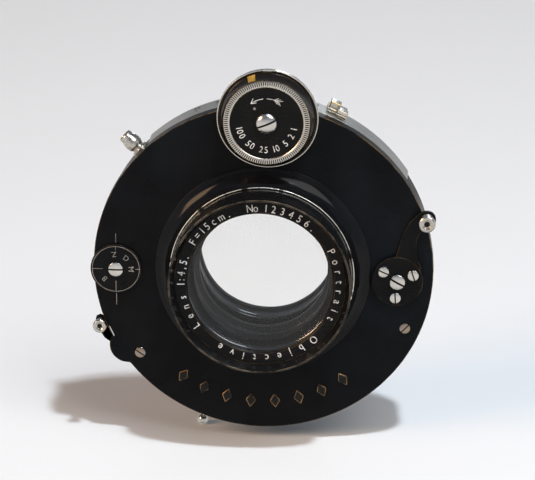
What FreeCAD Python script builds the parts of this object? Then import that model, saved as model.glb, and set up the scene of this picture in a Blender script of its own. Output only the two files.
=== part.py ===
import FreeCAD, Part
import os
import math
import Sketcher

# Dial-set between-lens leaf shutter carrying a five-element portrait lens.
# Bodies are modelled with the optical axis along local Z (front = +Z, up = +Y,
# zero = rear seat) and are then stood up so that the front looks along -Y.

os.makedirs("parts", exist_ok=True)
doc = FreeCAD.newDocument("portrait_lens")
sheet = doc.addObject("Spreadsheet::Sheet", "Dims")
V = FreeCAD.Vector

DIMS = [
    # casing
    ("case_wall_radius", 41.5), ("case_inner_radius", 40.9), ("case_floor_rear", 1.65),
    ("case_floor_front", 2.45), ("case_wall_front", 8.6), ("seat_radius", 32.4),
    ("thread_radius", 26.0), ("thread_rear", -5.0), ("thread_chamfer", 0.4),
    ("hub_bore", 23.2), ("hub_lip_radius", 27.45), ("hub_lip_front", 3.1),
    ("lobe_x", -33.8), ("lobe_y", -21.0), ("lobe_radius", 4.6), ("lobe_inner", 4.0),
    # cover
    ("cover_radius", 42.0), ("cover_skirt_inner", 41.55), ("cover_bore", 22.6),
    ("face_front", 12.3), ("cover_under", 11.3), ("cover_rim_front", 11.8),
    ("bevel_radius", 37.6), ("emboss_count", 8), ("emboss_radius", 34.7),
    ("emboss_height", 0.35), ("emboss_span", 70.0),
    # conical boss
    ("boss_foot", 26.75), ("boss_bore", 22.45), ("boss_top_radius", 22.75), ("boss_top", 16.65),
    ("boss_mid_radius", 24.2), ("boss_mid", 14.1),
    # scale band
    ("band_inner", 41.52), ("band_outer", 42.0), ("band_rear", 1.62), ("band_front", 8.55),
    ("band_start", 33.0), ("band_span", 99.5),
    # front cell
    ("barrel_radius", 22.36), ("barrel_relief", 22.0), ("barrel_front", 25.4),
    ("barrel_shoulder", 14.8), ("barrel_thread", 20.5), ("barrel_rear", 8.4),
    ("glass_opening", 17.85), ("ring_outer", 20.9), ("ring_rear", 22.0), ("ring_front", 22.55),
    ("doublet_radius", 18.5), ("doublet_seat", 16.9), ("crown_edge", 21.75),
    ("crown_curve", 62.0), ("cement_edge", 20.6), ("cement_curve", 80.0), ("flint_curve", 500.0),
    ("middle_radius", 17.1), ("middle_rear", 9.9), ("middle_front", 14.6), ("middle_curve", 90.0),
    # rear cell
    ("rear_barrel_radius", 23.1), ("rear_barrel_step", 21.5), ("rear_barrel_rear", -9.0),
    ("rear_barrel_front", 1.6), ("rear_barrel_shoulder", -5.2), ("rear_opening", 16.9),
    ("rear_glass_radius", 17.5), ("rear_glass_front", 1.0), ("rear_cement_edge", -3.2),
    ("rear_glass_rear", -5.0), ("rear_front_curve", 150.0), ("rear_curve", 60.0),
    # plates and rings of the works
    ("works_radius", 40.85), ("spacer_inner", 39.6),
    ("seat_plate_rear", 5.07), ("seat_plate_front", 5.57), ("seat_plate_bore", 18.6),
    ("works_plate_rear", 7.52), ("works_plate_front", 8.12), ("works_tube_bore", 20.55),
    ("works_tube_radius", 21.6), ("works_tube_front", 14.5), ("guide_radius", 34.75),
    # iris
    ("iris_count", 10), ("iris_pivot_radius", 29.0), ("iris_drive_arm", 5.0),
    ("iris_inner", 18.4), ("iris_outer", 27.2), ("iris_span", 116.0), ("iris_blade_thick", 0.1),
    ("iris_level", 3.25), ("iris_pitch", 0.18), ("iris_pin_radius", 0.4), ("iris_drive_start", 50.0),
    ("iris_close", 32.6), ("iris_turn", 48.0), ("iris_slot_width", 0.9),
    ("iris_ring_rear", 2.55), ("iris_ring_front", 3.15), ("iris_ring_bore", 27.5), ("iris_ring_radius", 39.3),
    # shutter blades
    ("blade_count", 5), ("blade_pivot_radius", 36.0), ("blade_drive_arm", 2.8),
    ("blade_inner", 18.6), ("blade_outer", 34.2), ("blade_span", 96.0), ("blade_thick", 0.15),
    ("blade_level", 5.67), ("blade_pitch", 0.25), ("blade_pin_radius", 0.45), ("blade_drive_start", 60.0),
    ("blade_close", 30.5), ("blade_turn", 14.0), ("blade_slot_width", 1.0),
    ("drive_ring_rear", 6.92), ("drive_ring_front", 7.42), ("drive_ring_bore", 34.8), ("drive_ring_radius", 39.3),
    # aperture ring
    ("aperture_bore", 32.45), ("aperture_radius", 41.2), ("aperture_rear", 0.6), ("aperture_front", 1.35),
    ("dog_radius", 0.9), ("dog_circle", 38.0), ("pointer_angle", 65.5), ("ball_angle", -110.0),
    ("pointer_inner", 42.3), ("pointer_plate", 43.1), ("pointer_width", 5.0), ("foot_rear", 0.1),
    ("ball_radius", 1.3), ("ball_reach", 46.8), ("ball_level", 2.9),
    # speed dial
    ("dial_x", 1.2), ("dial_y", 39.2), ("collar_radius", 12.4), ("collar_inner", 12.0),
    ("collar_floor", 12.75), ("collar_front", 13.35), ("drum_foot", 11.7), ("drum_top_radius", 10.6),
    ("drum_rear", 12.95), ("drum_step", 13.3), ("drum_top", 16.6), ("knurl_radius", 10.5),
    ("knurl_inner", 8.97), ("knurl_front", 17.1), ("knurl_count", 120), ("knurl_depth", 0.28),
    ("dial_face_radius", 8.93), ("dial_face_rear", 16.3), ("dial_face_front", 16.95),
    ("dial_screw_radius", 2.55), ("dial_screw_height", 1.5), ("axle_radius", 0.8), ("axle_clear", 0.05),
    # mode dial
    ("mode_x", -36.4), ("mode_y", -0.4), ("mode_radius", 6.3), ("mode_rear", 12.4), ("mode_front", 13.1),
    ("mode_hub", 1.6), ("mode_hub_rear", 9.3), ("mode_screw_radius", 1.8),
    # setting lever
    ("setting_x", 33.2), ("setting_y", -1.9), ("setting_disc", 6.3), ("setting_rear", 12.45),
    ("setting_front", 13.6), ("setting_arm_front", 13.45), ("setting_hub", 2.6), ("setting_hub_rear", 9.2),
    ("setting_pin_x", 7.15), ("setting_pin_y", 16.15), ("setting_pin_radius", 1.25),
    ("setting_head_radius", 2.07), ("setting_head_rear", 16.1), ("setting_head_front", 17.4),
    ("small_screw_circle", 4.25), ("small_screw_radius", 1.35), ("pivot_screw_radius", 1.9),
    ("gear_module", 0.5), ("gear_teeth", 32), ("ring_teeth", 101), ("gear_rear", 8.35), ("gear_front", 9.15),
    # release lever
    ("release_x", -33.0), ("release_y", -20.3), ("release_rear", 8.95), ("release_front", 10.25),
    ("release_hub", 2.5), ("release_stud", 0.9), ("release_pin_x", -7.6), ("release_pin_y", 4.9),
    ("release_pin_radius", 0.95), ("release_head_radius", 1.73), ("release_head_rear", 12.75),
    ("release_head_front", 14.0),
    # cable release socket
    ("cable_angle", 137.0), ("cable_level", 6.2), ("cable_bore", 1.25), ("cable_depth", 4.5),
    # cover screws
    ("cover_screw_circle", 38.1), ("cover_screw_radius", 1.3),
]
VALUE = {}
for row, (alias, value) in enumerate(DIMS, start=1):
    sheet.set("A%d" % row, alias)
    sheet.set("B%d" % row, repr(value))
    sheet.setAlias("B%d" % row, alias)
    VALUE[alias] = value
doc.recompute()


class Dim:
    """A number that also remembers the sheet expression it comes from."""

    def __init__(self, value, text):
        self.value = value
        self.text = text

    @staticmethod
    def of(other):
        return other if isinstance(other, Dim) else Dim(float(other), repr(float(other)))

    def __add__(self, other):
        o = Dim.of(other)
        return Dim(self.value + o.value, "(%s + %s)" % (self.text, o.text))

    def __radd__(self, other):
        return Dim.of(other) + self

    def __sub__(self, other):
        o = Dim.of(other)
        return Dim(self.value - o.value, "(%s - %s)" % (self.text, o.text))

    def __rsub__(self, other):
        return Dim.of(other) - self

    def __mul__(self, other):
        o = Dim.of(other)
        return Dim(self.value * o.value, "(%s * %s)" % (self.text, o.text))

    __rmul__ = __mul__

    def __truediv__(self, other):
        o = Dim.of(other)
        return Dim(self.value / o.value, "(%s / %s)" % (self.text, o.text))

    def __neg__(self):
        return Dim(-self.value, "(0 - %s)" % self.text)


def d(alias):
    return Dim(VALUE[alias], "Dims." + alias)


def num(x):
    return x.value if isinstance(x, Dim) else float(x)


def bind(obj, prop, x):
    if isinstance(x, Dim):
        obj.setExpression(prop, x.text)
    else:
        obj.setExpression(prop, repr(float(x)))


STAND = FreeCAD.Placement(V(0, 0, 0), FreeCAD.Rotation(V(1, 0, 0), 90))
NODES = []
COUNT = [0]


def fresh(prefix):
    COUNT[0] += 1
    return "%s%03d" % (prefix, COUNT[0])


def node(obj, label, x=0.0, y=0.0, turn=0.0):
    obj.Label = label
    obj.Placement = STAND.multiply(FreeCAD.Placement(V(num(x), num(y), 0), FreeCAD.Rotation(V(0, 0, 1), num(turn))))
    NODES.append(obj)
    return obj


def plane(body, role):
    for feature in body.Origin.OriginFeatures:
        if feature.Role == role:
            return feature
    raise ValueError(role)


def outline(body, name, pts, role="XZ_Plane", level=None):
    sk = body.newObject("Sketcher::SketchObject", name)
    sk.AttachmentSupport = [(plane(body, role), "")]
    sk.MapMode = "FlatFace"
    if level is not None:
        sk.AttachmentOffset = FreeCAD.Placement(V(0, 0, num(level)), FreeCAD.Rotation())
        bind(sk, "AttachmentOffset.Base.z", level)
    n = len(pts)
    for i in range(n):
        a, b = pts[i], pts[(i + 1) % n]
        sk.addGeometry(Part.LineSegment(V(num(a[0]), num(a[1]), 0), V(num(b[0]), num(b[1]), 0)), False)
    for i in range(n):
        sk.addConstraint(Sketcher.Constraint("Coincident", i, 2, (i + 1) % n, 1))
    for i, (a, b) in enumerate(pts):
        for kind, x, axis in (("DistanceX", a, -2), ("DistanceY", b, -1)):
            if abs(num(x)) < 1e-9:
                sk.addConstraint(Sketcher.Constraint("PointOnObject", i, 1, axis))
            else:
                c = sk.addConstraint(Sketcher.Constraint(kind, -1, 1, i, 1, num(x)))
                if isinstance(x, Dim):
                    sk.setExpression("Constraints[%d]" % c, x.text)
    return sk


def circle(body, name, x, y, r, level=None, role="XY_Plane"):
    sk = body.newObject("Sketcher::SketchObject", name)
    sk.AttachmentSupport = [(plane(body, role), "")]
    sk.MapMode = "FlatFace"
    if level is not None:
        sk.AttachmentOffset = FreeCAD.Placement(V(0, 0, num(level)), FreeCAD.Rotation())
        bind(sk, "AttachmentOffset.Base.z", level)
    sk.addGeometry(Part.Circle(V(num(x), num(y), 0), V(0, 0, 1), num(r)), False)
    c = sk.addConstraint(Sketcher.Constraint("Radius", 0, num(r)))
    bind(sk, "Constraints[%d]" % c, r)
    for kind, q, axis in (("DistanceX", x, -2), ("DistanceY", y, -1)):
        if abs(num(q)) < 1e-9:
            sk.addConstraint(Sketcher.Constraint("PointOnObject", 0, 3, axis))
        else:
            c = sk.addConstraint(Sketcher.Constraint(kind, -1, 1, 0, 3, num(q)))
            if isinstance(q, Dim):
                sk.setExpression("Constraints[%d]" % c, q.text)
    return sk


def turned(pts):
    """A body revolved from a half section given as (radius, height) points."""
    body = doc.addObject("PartDesign::Body", fresh("Body"))
    sk = outline(body, fresh("Section"), pts)
    rev = body.newObject("PartDesign::Revolution", fresh("Revolution"))
    rev.Profile = sk
    rev.ReferenceAxis = (sk, ["V_Axis"])
    rev.Angle = 360
    sk.Visibility = False
    body.Tip = rev
    return body


def pad(body, sk, length, cut=False):
    f = body.newObject("PartDesign::Pocket" if cut else "PartDesign::Pad", fresh("Pocket" if cut else "Pad"))
    f.Profile = sk
    f.Length = num(length)
    bind(f, "Length", length)
    body.Tip = f
    return f


def cyl(r, h, z=0.0, x=0.0, y=0.0, angle=None, rot=None):
    c = doc.addObject("Part::Cylinder", fresh("Cylinder"))
    c.Radius, c.Height = num(r), num(h)
    bind(c, "Radius", r)
    bind(c, "Height", h)
    if angle is not None:
        c.Angle = num(angle)
        bind(c, "Angle", angle)
    c.Placement = FreeCAD.Placement(V(num(x), num(y), num(z)), rot or FreeCAD.Rotation())
    for axis, q in (("x", x), ("y", y), ("z", z)):
        if isinstance(q, Dim):
            c.setExpression("Placement.Base." + axis, q.text)
    return c


def cube(x0, x1, y0, y1, z0, z1):
    b = doc.addObject("Part::Box", fresh("Box"))
    b.Length, b.Width, b.Height = num(x1) - num(x0), num(y1) - num(y0), num(z1) - num(z0)
    bind(b, "Length", Dim.of(x1) - x0)
    bind(b, "Width", Dim.of(y1) - y0)
    bind(b, "Height", Dim.of(z1) - z0)
    b.Placement = FreeCAD.Placement(V(num(x0), num(y0), num(z0)), FreeCAD.Rotation())
    for axis, q in (("x", x0), ("y", y0), ("z", z0)):
        if isinstance(q, Dim):
            b.setExpression("Placement.Base." + axis, q.text)
    return b


def ball(r, z):
    s = doc.addObject("Part::Sphere", fresh("Sphere"))
    s.Radius = num(r)
    bind(s, "Radius", r)
    s.Placement = FreeCAD.Placement(V(0, 0, num(z)), FreeCAD.Rotation())
    if isinstance(z, Dim):
        s.setExpression("Placement.Base.z", z.text)
    return s


def fuse(items):
    f = doc.addObject("Part::MultiFuse", fresh("Fusion"))
    f.Shapes = items
    return f


def common(items):
    f = doc.addObject("Part::MultiCommon", fresh("Common"))
    f.Shapes = items
    return f


def cut(base, tools):
    c = doc.addObject("Part::Cut", fresh("Cut"))
    c.Base = base
    c.Tool = tools[0] if len(tools) == 1 else fuse(tools)
    return c


def annulus(ri, ro, z0, z1, start=0.0, span=None):
    ro_c = cyl(ro, Dim.of(z1) - z0, z0, angle=span, rot=FreeCAD.Rotation(V(0, 0, 1), num(start)))
    ri_c = cyl(ri, Dim.of(z1) - z0 + 2, Dim.of(z0) - 1)
    return cut(ro_c, [ri_c])


def polar(r, a):
    return V(r * math.cos(math.radians(a)), r * math.sin(math.radians(a)), 0)


# ------------------------------------------------------------------ casing
case_turned = turned([
    (d("hub_bore"), d("thread_rear")), (d("thread_radius") - d("thread_chamfer"), d("thread_rear")),
    (d("thread_radius"), d("thread_rear") + d("thread_chamfer")), (d("thread_radius"), 0.0),
    (d("seat_radius"), 0.0), (d("seat_radius"), d("case_floor_rear")),
    (d("case_wall_radius"), d("case_floor_rear")), (d("case_wall_radius"), d("case_wall_front")),
    (d("case_inner_radius"), d("case_wall_front")), (d("case_inner_radius"), d("case_floor_front")),
    (d("hub_lip_radius"), d("case_floor_front")), (d("hub_lip_radius"), d("hub_lip_front")),
    (d("hub_bore"), d("hub_lip_front"))])
sk = circle(case_turned, "LobeOutline", d("lobe_x"), d("lobe_y"), d("lobe_radius"), d("case_floor_rear"))
pad(case_turned, sk, d("case_wall_front") - d("case_floor_rear"))
sk = circle(case_turned, "LobeRoom", d("lobe_x"), d("lobe_y"), d("lobe_inner"), d("case_wall_front"))
pad(case_turned, sk, d("case_wall_front") - d("case_floor_front"), cut=True)
dog_margin = 2.4
case_slot = annulus(d("dog_circle") - d("dog_radius") - 0.35, d("dog_circle") + d("dog_radius") + 0.35,
                    d("case_floor_rear") - 0.5, d("case_floor_front") + 0.5, -dog_margin,
                    d("iris_turn") + 2 * dog_margin)
cable_hole = cyl(1.5, 6.0, d("cable_level"))
cable_hole.Placement = FreeCAD.Placement(polar(38.0, VALUE["cable_angle"]) + V(0, 0, VALUE["cable_level"]),
                                         FreeCAD.Rotation(V(0, 0, 1), polar(1.0, VALUE["cable_angle"])))
case_room = annulus(d("hub_lip_radius") + 1.0, d("case_inner_radius"), d("case_floor_front"), d("case_wall_front") + 1.0)
node(cut(case_turned, [case_slot, cable_hole, case_room]), "case_back")

# ------------------------------------------------------------------ cover
cover = turned([
    (d("cover_bore"), d("cover_under")), (d("cover_skirt_inner"), d("cover_under")),
    (d("cover_skirt_inner"), d("case_wall_front") + 0.02), (d("cover_radius"), d("case_wall_front") + 0.02),
    (d("cover_radius"), d("cover_rim_front")), (d("bevel_radius"), d("face_front")),
    (d("cover_bore"), d("face_front"))])
sk = circle(cover, "CoverLobe", d("lobe_x"), d("lobe_y"), d("lobe_radius"), d("case_wall_front") + 0.02)
pad(cover, sk, d("cover_rim_front") - d("case_wall_front"))
sk = circle(cover, "CoverLobeRoom", d("lobe_x"), d("lobe_y"), d("lobe_inner"), d("case_wall_front") + 0.02)
f = pad(cover, sk, d("cover_under") - d("case_wall_front") - 0.02, cut=True)
f.Reversed = True
e = 1.05
start_angle = -90.0 - VALUE["emboss_span"] / 2.0
half = 1.35
mid = polar(VALUE["emboss_radius"], start_angle)
uu, tt = polar(1.0, start_angle), polar(1.0, start_angle + 90.0)
loz = [mid + uu * 2.0, mid + tt * half, mid - uu * 2.0, mid - tt * half]
sk = outline(cover, "Lozenge", [(p.x, p.y) for p in loz], role="XY_Plane", level=d("face_front"))
raised = pad(cover, sk, d("emboss_height"))
doc.recompute()
pattern = cover.newObject("PartDesign::PolarPattern", "EmbossRow")
pattern.Originals = [raised]
pattern.Axis = (sk, ["N_Axis"])
pattern.Angle = VALUE["emboss_span"]
pattern.Occurrences = VALUE["emboss_count"]
cover.Tip = pattern
bind(pattern, "Angle", d("emboss_span"))
bind(pattern, "Occurrences", d("emboss_count"))
dial_hole = cyl(d("axle_radius") + d("axle_clear"), 3.0, d("cover_under") - 0.5, d("dial_x"), d("dial_y"))
mode_hole = cyl(d("mode_hub") + d("axle_clear"), 3.0, d("cover_under") - 0.5, d("mode_x"), d("mode_y"))
setting_hole = cyl(d("setting_hub") + d("axle_clear"), 3.0, d("cover_under") - 0.5, d("setting_x"), d("setting_y"))
screw_spots = [polar(VALUE["cover_screw_circle"], a) for a in (-22.5, -143.6, 97.6)]
screw_holes = [cyl(0.8, 3.0, d("cover_under") - 0.5, p.x, p.y) for p in screw_spots]
window = annulus(40.0, 46.5, d("release_rear") - 0.2, d("release_front") + 0.25, -158.5, 12.0)
cover_room = cyl(d("cover_skirt_inner"), d("cover_under") - d("case_wall_front") + 1.0, d("case_wall_front") - 1.0)
node(cut(cover, [dial_hole, mode_hole, setting_hole, window, cover_room] + screw_holes), "front_cover")

node(turned([
    (d("boss_bore"), d("face_front")), (d("boss_foot"), d("face_front")),
    (d("boss_foot") - 0.45, d("face_front") + 0.35), (d("boss_mid_radius") + 0.9, d("boss_mid") - 0.7),
    (d("boss_mid_radius"), d("boss_mid")), (d("boss_top_radius") + 0.45, d("boss_top") - 1.0),
    (d("boss_top_radius"), d("boss_top")), (d("boss_bore"), d("boss_top"))]), "cover_boss")

node(annulus(d("band_inner"), d("band_outer"), d("band_rear"), d("band_front"), d("band_start"), d("band_span")),
     "aperture_scale_band")

# -------------------------------------------------- plates inside the casing
def plunger_way():
    way = cyl(1.6, 3.5, d("cable_level"))
    way.Placement = FreeCAD.Placement(polar(38.6, VALUE["cable_angle"]) + V(0, 0, VALUE["cable_level"]),
                                      FreeCAD.Rotation(V(0, 0, 1), polar(1.0, VALUE["cable_angle"])))
    return way


node(cut(annulus(d("spacer_inner"), d("works_radius"), d("case_floor_front"), d("seat_plate_rear")), [plunger_way()]),
     "iris_spacer_ring")
node(cut(annulus(d("spacer_inner"), d("works_radius"), d("seat_plate_front"), d("works_plate_rear")), [plunger_way()]),
     "blade_spacer_ring")

seat_ring = annulus(d("seat_plate_bore"), d("works_radius"), d("seat_plate_rear"), d("seat_plate_front"))
pin_holes = []
for k in range(VALUE["iris_count"]):
    p = polar(VALUE["iris_pivot_radius"], 360.0 * k / VALUE["iris_count"])
    pin_holes.append(cyl(d("iris_pin_radius") + 0.05, 2.0, d("seat_plate_rear") - 0.5, p.x, p.y))
for k in range(VALUE["blade_count"]):
    p = polar(VALUE["blade_pivot_radius"], 360.0 * k / VALUE["blade_count"])
    pin_holes.append(cyl(d("blade_pin_radius") + 0.05, 2.0, d("seat_plate_rear") - 0.5, p.x, p.y))
node(cut(seat_ring, pin_holes + [plunger_way()]), "blade_seat_plate")

works = turned([
    (d("works_tube_bore"), d("works_plate_rear")), (d("guide_radius") - 0.85, d("works_plate_rear")),
    (d("guide_radius") - 0.85, d("drive_ring_rear") + 0.08), (d("guide_radius"), d("drive_ring_rear") + 0.08),
    (d("guide_radius"), d("works_plate_rear")), (d("works_radius"), d("works_plate_rear")),
    (d("works_radius"), d("works_plate_front")), (d("works_tube_radius"), d("works_plate_front")),
    (d("works_tube_radius"), d("works_tube_front")), (d("works_tube_bore"), d("works_tube_front"))])
node(cut(works, [plunger_way()]), "mechanism_plate")

# ------------------------------------------------------------------ front cell
node(turned([
    (d("middle_radius") + 0.03, d("barrel_rear")), (d("barrel_thread"), d("barrel_rear")),
    (d("barrel_thread"), d("barrel_shoulder")), (d("barrel_relief"), d("barrel_shoulder")),
    (d("barrel_relief"), d("boss_top") + 0.05), (d("barrel_radius"), d("boss_top") + 0.05),
    (d("barrel_radius"), d("barrel_front")), (d("barrel_radius") - 0.45, d("barrel_front")),
    (d("ring_outer") + 0.05, d("ring_front") + 0.05), (d("ring_outer") + 0.05, d("ring_rear")),
    (d("doublet_radius") + 0.03, d("ring_rear")), (d("doublet_radius") + 0.03, d("doublet_seat")),
    (d("middle_radius") - 0.5, d("doublet_seat")), (d("middle_radius") - 0.5, d("middle_front")),
    (d("middle_radius") + 0.03, d("middle_front"))]), "front_cell_barrel")

node(turned([
    (d("glass_opening"), d("ring_rear") + 0.02), (d("ring_outer"), d("ring_rear") + 0.02),
    (d("ring_outer"), d("ring_front")), (d("glass_opening") + 0.35, d("ring_front")),
    (d("glass_opening"), d("ring_front") - 0.3)]), "name_ring")


def sag(curve, radius):
    return num(curve) - math.sqrt(num(curve) ** 2 - num(radius) ** 2)


def sag_dim(curve, radius):
    c, r = Dim.of(curve), Dim.of(radius)
    return Dim(sag(c, r), "(%s - sqrt(%s * %s - %s * %s))" % (c.text, c.text, c.text, r.text, r.text))


# convex front surface: the sphere centre lies behind the edge
def bulge_front(curve, radius, edge):
    return ball(curve, Dim.of(edge) + sag_dim(curve, radius) - curve)


# surface whose sphere centre lies in front of the edge
def bulge_rear(curve, radius, edge):
    return ball(curve, Dim.of(edge) - sag_dim(curve, radius) + curve)


rad = d("doublet_radius")
node(common([cyl(rad, 12.0, d("doublet_seat")), bulge_front(d("crown_curve"), rad, d("crown_edge")),
             bulge_rear(d("cement_curve"), rad, d("cement_edge"))]), "front_crown_lens")
block = cyl(rad, d("cement_edge") - d("doublet_seat"), d("doublet_seat"))
node(cut(block, [bulge_rear(d("cement_curve"), rad, d("cement_edge") - 0.005),
                 bulge_front(d("flint_curve"), rad, d("doublet_seat"))]), "front_flint_lens")
rad = d("middle_radius")
block = cyl(rad, d("middle_front") - d("middle_rear"), d("middle_rear"))
node(cut(block, [bulge_rear(d("middle_curve"), rad, d("middle_front")),
                 bulge_front(d("middle_curve"), rad, d("middle_rear"))]), "middle_lens")
node(annulus(15.9, d("middle_radius"), d("barrel_rear") + 0.1, d("middle_rear")), "middle_retaining_ring")

# ------------------------------------------------------------------ rear cell
node(turned([
    (d("rear_opening") - 0.1, d("rear_glass_front")), (d("rear_opening") - 0.1, d("rear_barrel_front")),
    (d("rear_barrel_radius") - 0.4, d("rear_barrel_front")), (d("rear_barrel_radius"), d("rear_barrel_front") - 0.4),
    (d("rear_barrel_radius"), d("rear_barrel_shoulder")), (d("rear_barrel_step"), d("rear_barrel_shoulder")),
    (d("rear_barrel_step"), d("rear_barrel_rear") + 0.4), (d("rear_barrel_step") - 0.4, d("rear_barrel_rear")),
    (d("rear_glass_radius") + 0.08, d("rear_barrel_rear")), (d("rear_glass_radius") + 0.03, d("rear_glass_front"))]),
    "rear_cell_barrel")
rad = d("rear_glass_radius")
block = cyl(rad, d("rear_glass_front") - d("rear_cement_edge"), d("rear_cement_edge"))
node(cut(block, [bulge_rear(d("rear_front_curve"), rad, d("rear_glass_front")),
                 bulge_front(d("cement_curve"), rad, d("rear_cement_edge") + 0.005)]), "rear_flint_lens")
node(common([cyl(rad, 12.0, -10.0), bulge_front(d("cement_curve"), rad, d("rear_cement_edge")),
             bulge_rear(d("rear_curve"), rad, d("rear_glass_rear"))]), "rear_crown_lens")
node(annulus(d("rear_opening"), d("rear_glass_radius"), -7.2, -5.3), "rear_retaining_ring")


# ------------------------------------------------------------------ screws
def slotted(head_r, z0, height, shank_r, shank_rear, x, y, slot, turn, crown=0.0):
    """Slotted screw built from solids: head (optionally domed), shank and slot."""
    z1 = Dim.of(z0) + height
    head = cyl(head_r, height, z0)
    if crown:
        dome = ball(crown, z1 - crown)
        head = common([head, dome])
    shank = cyl(shank_r, Dim.of(z0) - shank_rear + 0.1, shank_rear)
    body = fuse([head, shank])
    s = cube(-num(head_r) - 1.0, num(head_r) + 1.0, -num(slot) / 2.0, num(slot) / 2.0, z1 - 0.45 * num(height), z1 + 2.0)
    c = cut(body, [s])
    c.Placement = FreeCAD.Placement(V(num(x), num(y), 0), FreeCAD.Rotation(V(0, 0, 1), turn))
    return c


def group(items):
    g = doc.addObject("Part::Compound", fresh("Group"))
    g.Links = items
    return g


node(group([slotted(d("cover_screw_radius"), d("face_front"), 0.55, 0.78, 10.8, p.x, p.y, 0.35, t, 2.6)
            for p, t in zip(screw_spots, (70.0, -35.0, 10.0))]), "cover_screws")
node(slotted(d("pivot_screw_radius"), d("setting_front") + 0.05, 1.0, 1.1, d("works_plate_front"),
             0, 0, 0.5, -25.0, 3.2), "setting_pivot_screw", d("setting_x"), d("setting_y"))
node(group([slotted(d("small_screw_radius"), d("setting_front") + 0.01, 0.6, 0.6, d("setting_rear") + 0.2,
                    *polar(VALUE["small_screw_circle"], a)[:2], 0.35, t, 2.4)
            for a, t in ((24.0, -20.0), (144.0, -15.0), (264.0, -5.0))]),
     "setting_lever_screws", d("setting_x"), d("setting_y"))

# ------------------------------------------------------------------ setting lever
lever = doc.addObject("PartDesign::Body", "SettingLever")
sk = circle(lever, "LeverDisc", 0.0, 0.0, d("setting_disc"), d("setting_rear"))
pad(lever, sk, d("setting_front") - d("setting_rear"))
px, py = d("setting_pin_x"), d("setting_pin_y")
sk = outline(lever, "LeverArm", [
    (-1.5, 4.0), (-0.45, 6.27), (0.1, 8.3), (1.0, 11.75), (2.3, 14.7), (4.2, 16.9), (px - 1.2, py + 2.0),
    (px + 0.9, py + 2.1), (px + 2.2, py + 0.6), (px + 1.9, py - 1.4), (px - 0.9, py - 2.6), (5.05, 11.8),
    (4.55, 9.9), (4.75, 6.6), (5.75, 3.0), (3.0, 0.5)], role="XY_Plane", level=d("setting_rear"))
pad(lever, sk, d("setting_arm_front") - d("setting_rear"))
sk = circle(lever, "LeverHub", 0.0, 0.0, d("setting_hub"), d("setting_hub_rear"))
pad(lever, sk, d("setting_rear") - d("setting_hub_rear"))
sk = circle(lever, "LeverBore", 0.0, 0.0, 1.15, d("setting_hub_rear") - 0.5)
f = pad(lever, sk, 8.0, cut=True)
f.Reversed = True
small_holes = [cyl(0.62, 3.0, d("setting_rear") + 0.15, *polar(VALUE["small_screw_circle"], a)[:2])
               for a in (24.0, 144.0, 264.0)]
node(cut(lever, small_holes), "setting_lever", d("setting_x"), d("setting_y"))

node(turned([
    (0.0, d("setting_arm_front")), (d("setting_pin_radius") + 0.35, d("setting_arm_front")),
    (d("setting_pin_radius"), d("setting_arm_front") + 0.5), (d("setting_pin_radius"), d("setting_head_rear") - 0.3),
    (d("setting_head_radius"), d("setting_head_rear")), (d("setting_head_radius"), d("setting_head_front") - 0.25),
    (d("setting_head_radius") - 0.25, d("setting_head_front")), (d("setting_head_radius") - 0.7, d("setting_head_front")),
    (0.75, d("setting_head_front") - 0.35), (0.6, d("setting_head_front") - 1.0), (0.0, d("setting_head_front") - 1.0)]),
    "setting_lever_pin",
    Dim(VALUE["setting_x"] + VALUE["setting_pin_x"], ""), Dim(VALUE["setting_y"] + VALUE["setting_pin_y"], ""))


def toothed(teeth, z0, z1, hole, first, span, arm_hole, phase):
    """Gear plate with straight-flanked teeth over part of its rim."""
    m = VALUE["gear_module"]
    rp = m * teeth / 2.0
    ra, rf = rp + 0.8 * m, rp - 1.1 * m
    step = 360.0 / teeth
    pts = []
    k = 0
    a = first
    if span >= 359.0:
        number = teeth
    else:
        number = int(span / step)
    for k in range(number):
        c = phase + first + step * k
        for r, off in ((rf, -0.30), (rp, -0.21), (ra, -0.11), (ra, 0.11), (rp, 0.21), (rf, 0.30)):
            pts.append(polar(r, c + off * step))
    if span < 359.0:
        c0, c1 = phase + first - 0.5 * step, phase + first + step * (number - 0.5)
        steps = 10
        back = 360.0 - (c1 - c0)
        for j in range(steps + 1):
            pts.append(polar(arm_hole, c1 + back * j / steps))
    pts.append(pts[0])
    face = Part.Face(Part.makePolygon(pts))
    solid = face.extrude(V(0, 0, z1 - z0))
    solid.translate(V(0, 0, z0))
    bore = Part.makeCylinder(hole, z1 - z0 + 2, V(0, 0, z0 - 1))
    return solid.cut(bore)


toward = math.degrees(math.atan2(-VALUE["setting_y"], -VALUE["setting_x"]))
centre = math.degrees(math.atan2(VALUE["setting_y"], VALUE["setting_x"]))
gear = doc.addObject("Part::Feature", "SettingGear")
gstep, rstep = 360.0 / VALUE["gear_teeth"], 360.0 / VALUE["ring_teeth"]
gear.Shape = toothed(VALUE["gear_teeth"], VALUE["gear_rear"], VALUE["gear_front"], 1.15,
                     toward - 9 * gstep, 14.2 * gstep, 3.6, 0.0)
node(gear, "setting_gear", d("setting_x"), d("setting_y"))
ring = doc.addObject("Part::Feature", "SettingRing")
ring.Shape = toothed(VALUE["ring_teeth"], VALUE["gear_rear"], VALUE["gear_front"],
                     VALUE["works_tube_radius"] + 0.05, centre, 360.0, 0.0, rstep / 2.0)
node(ring, "setting_ring")

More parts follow.
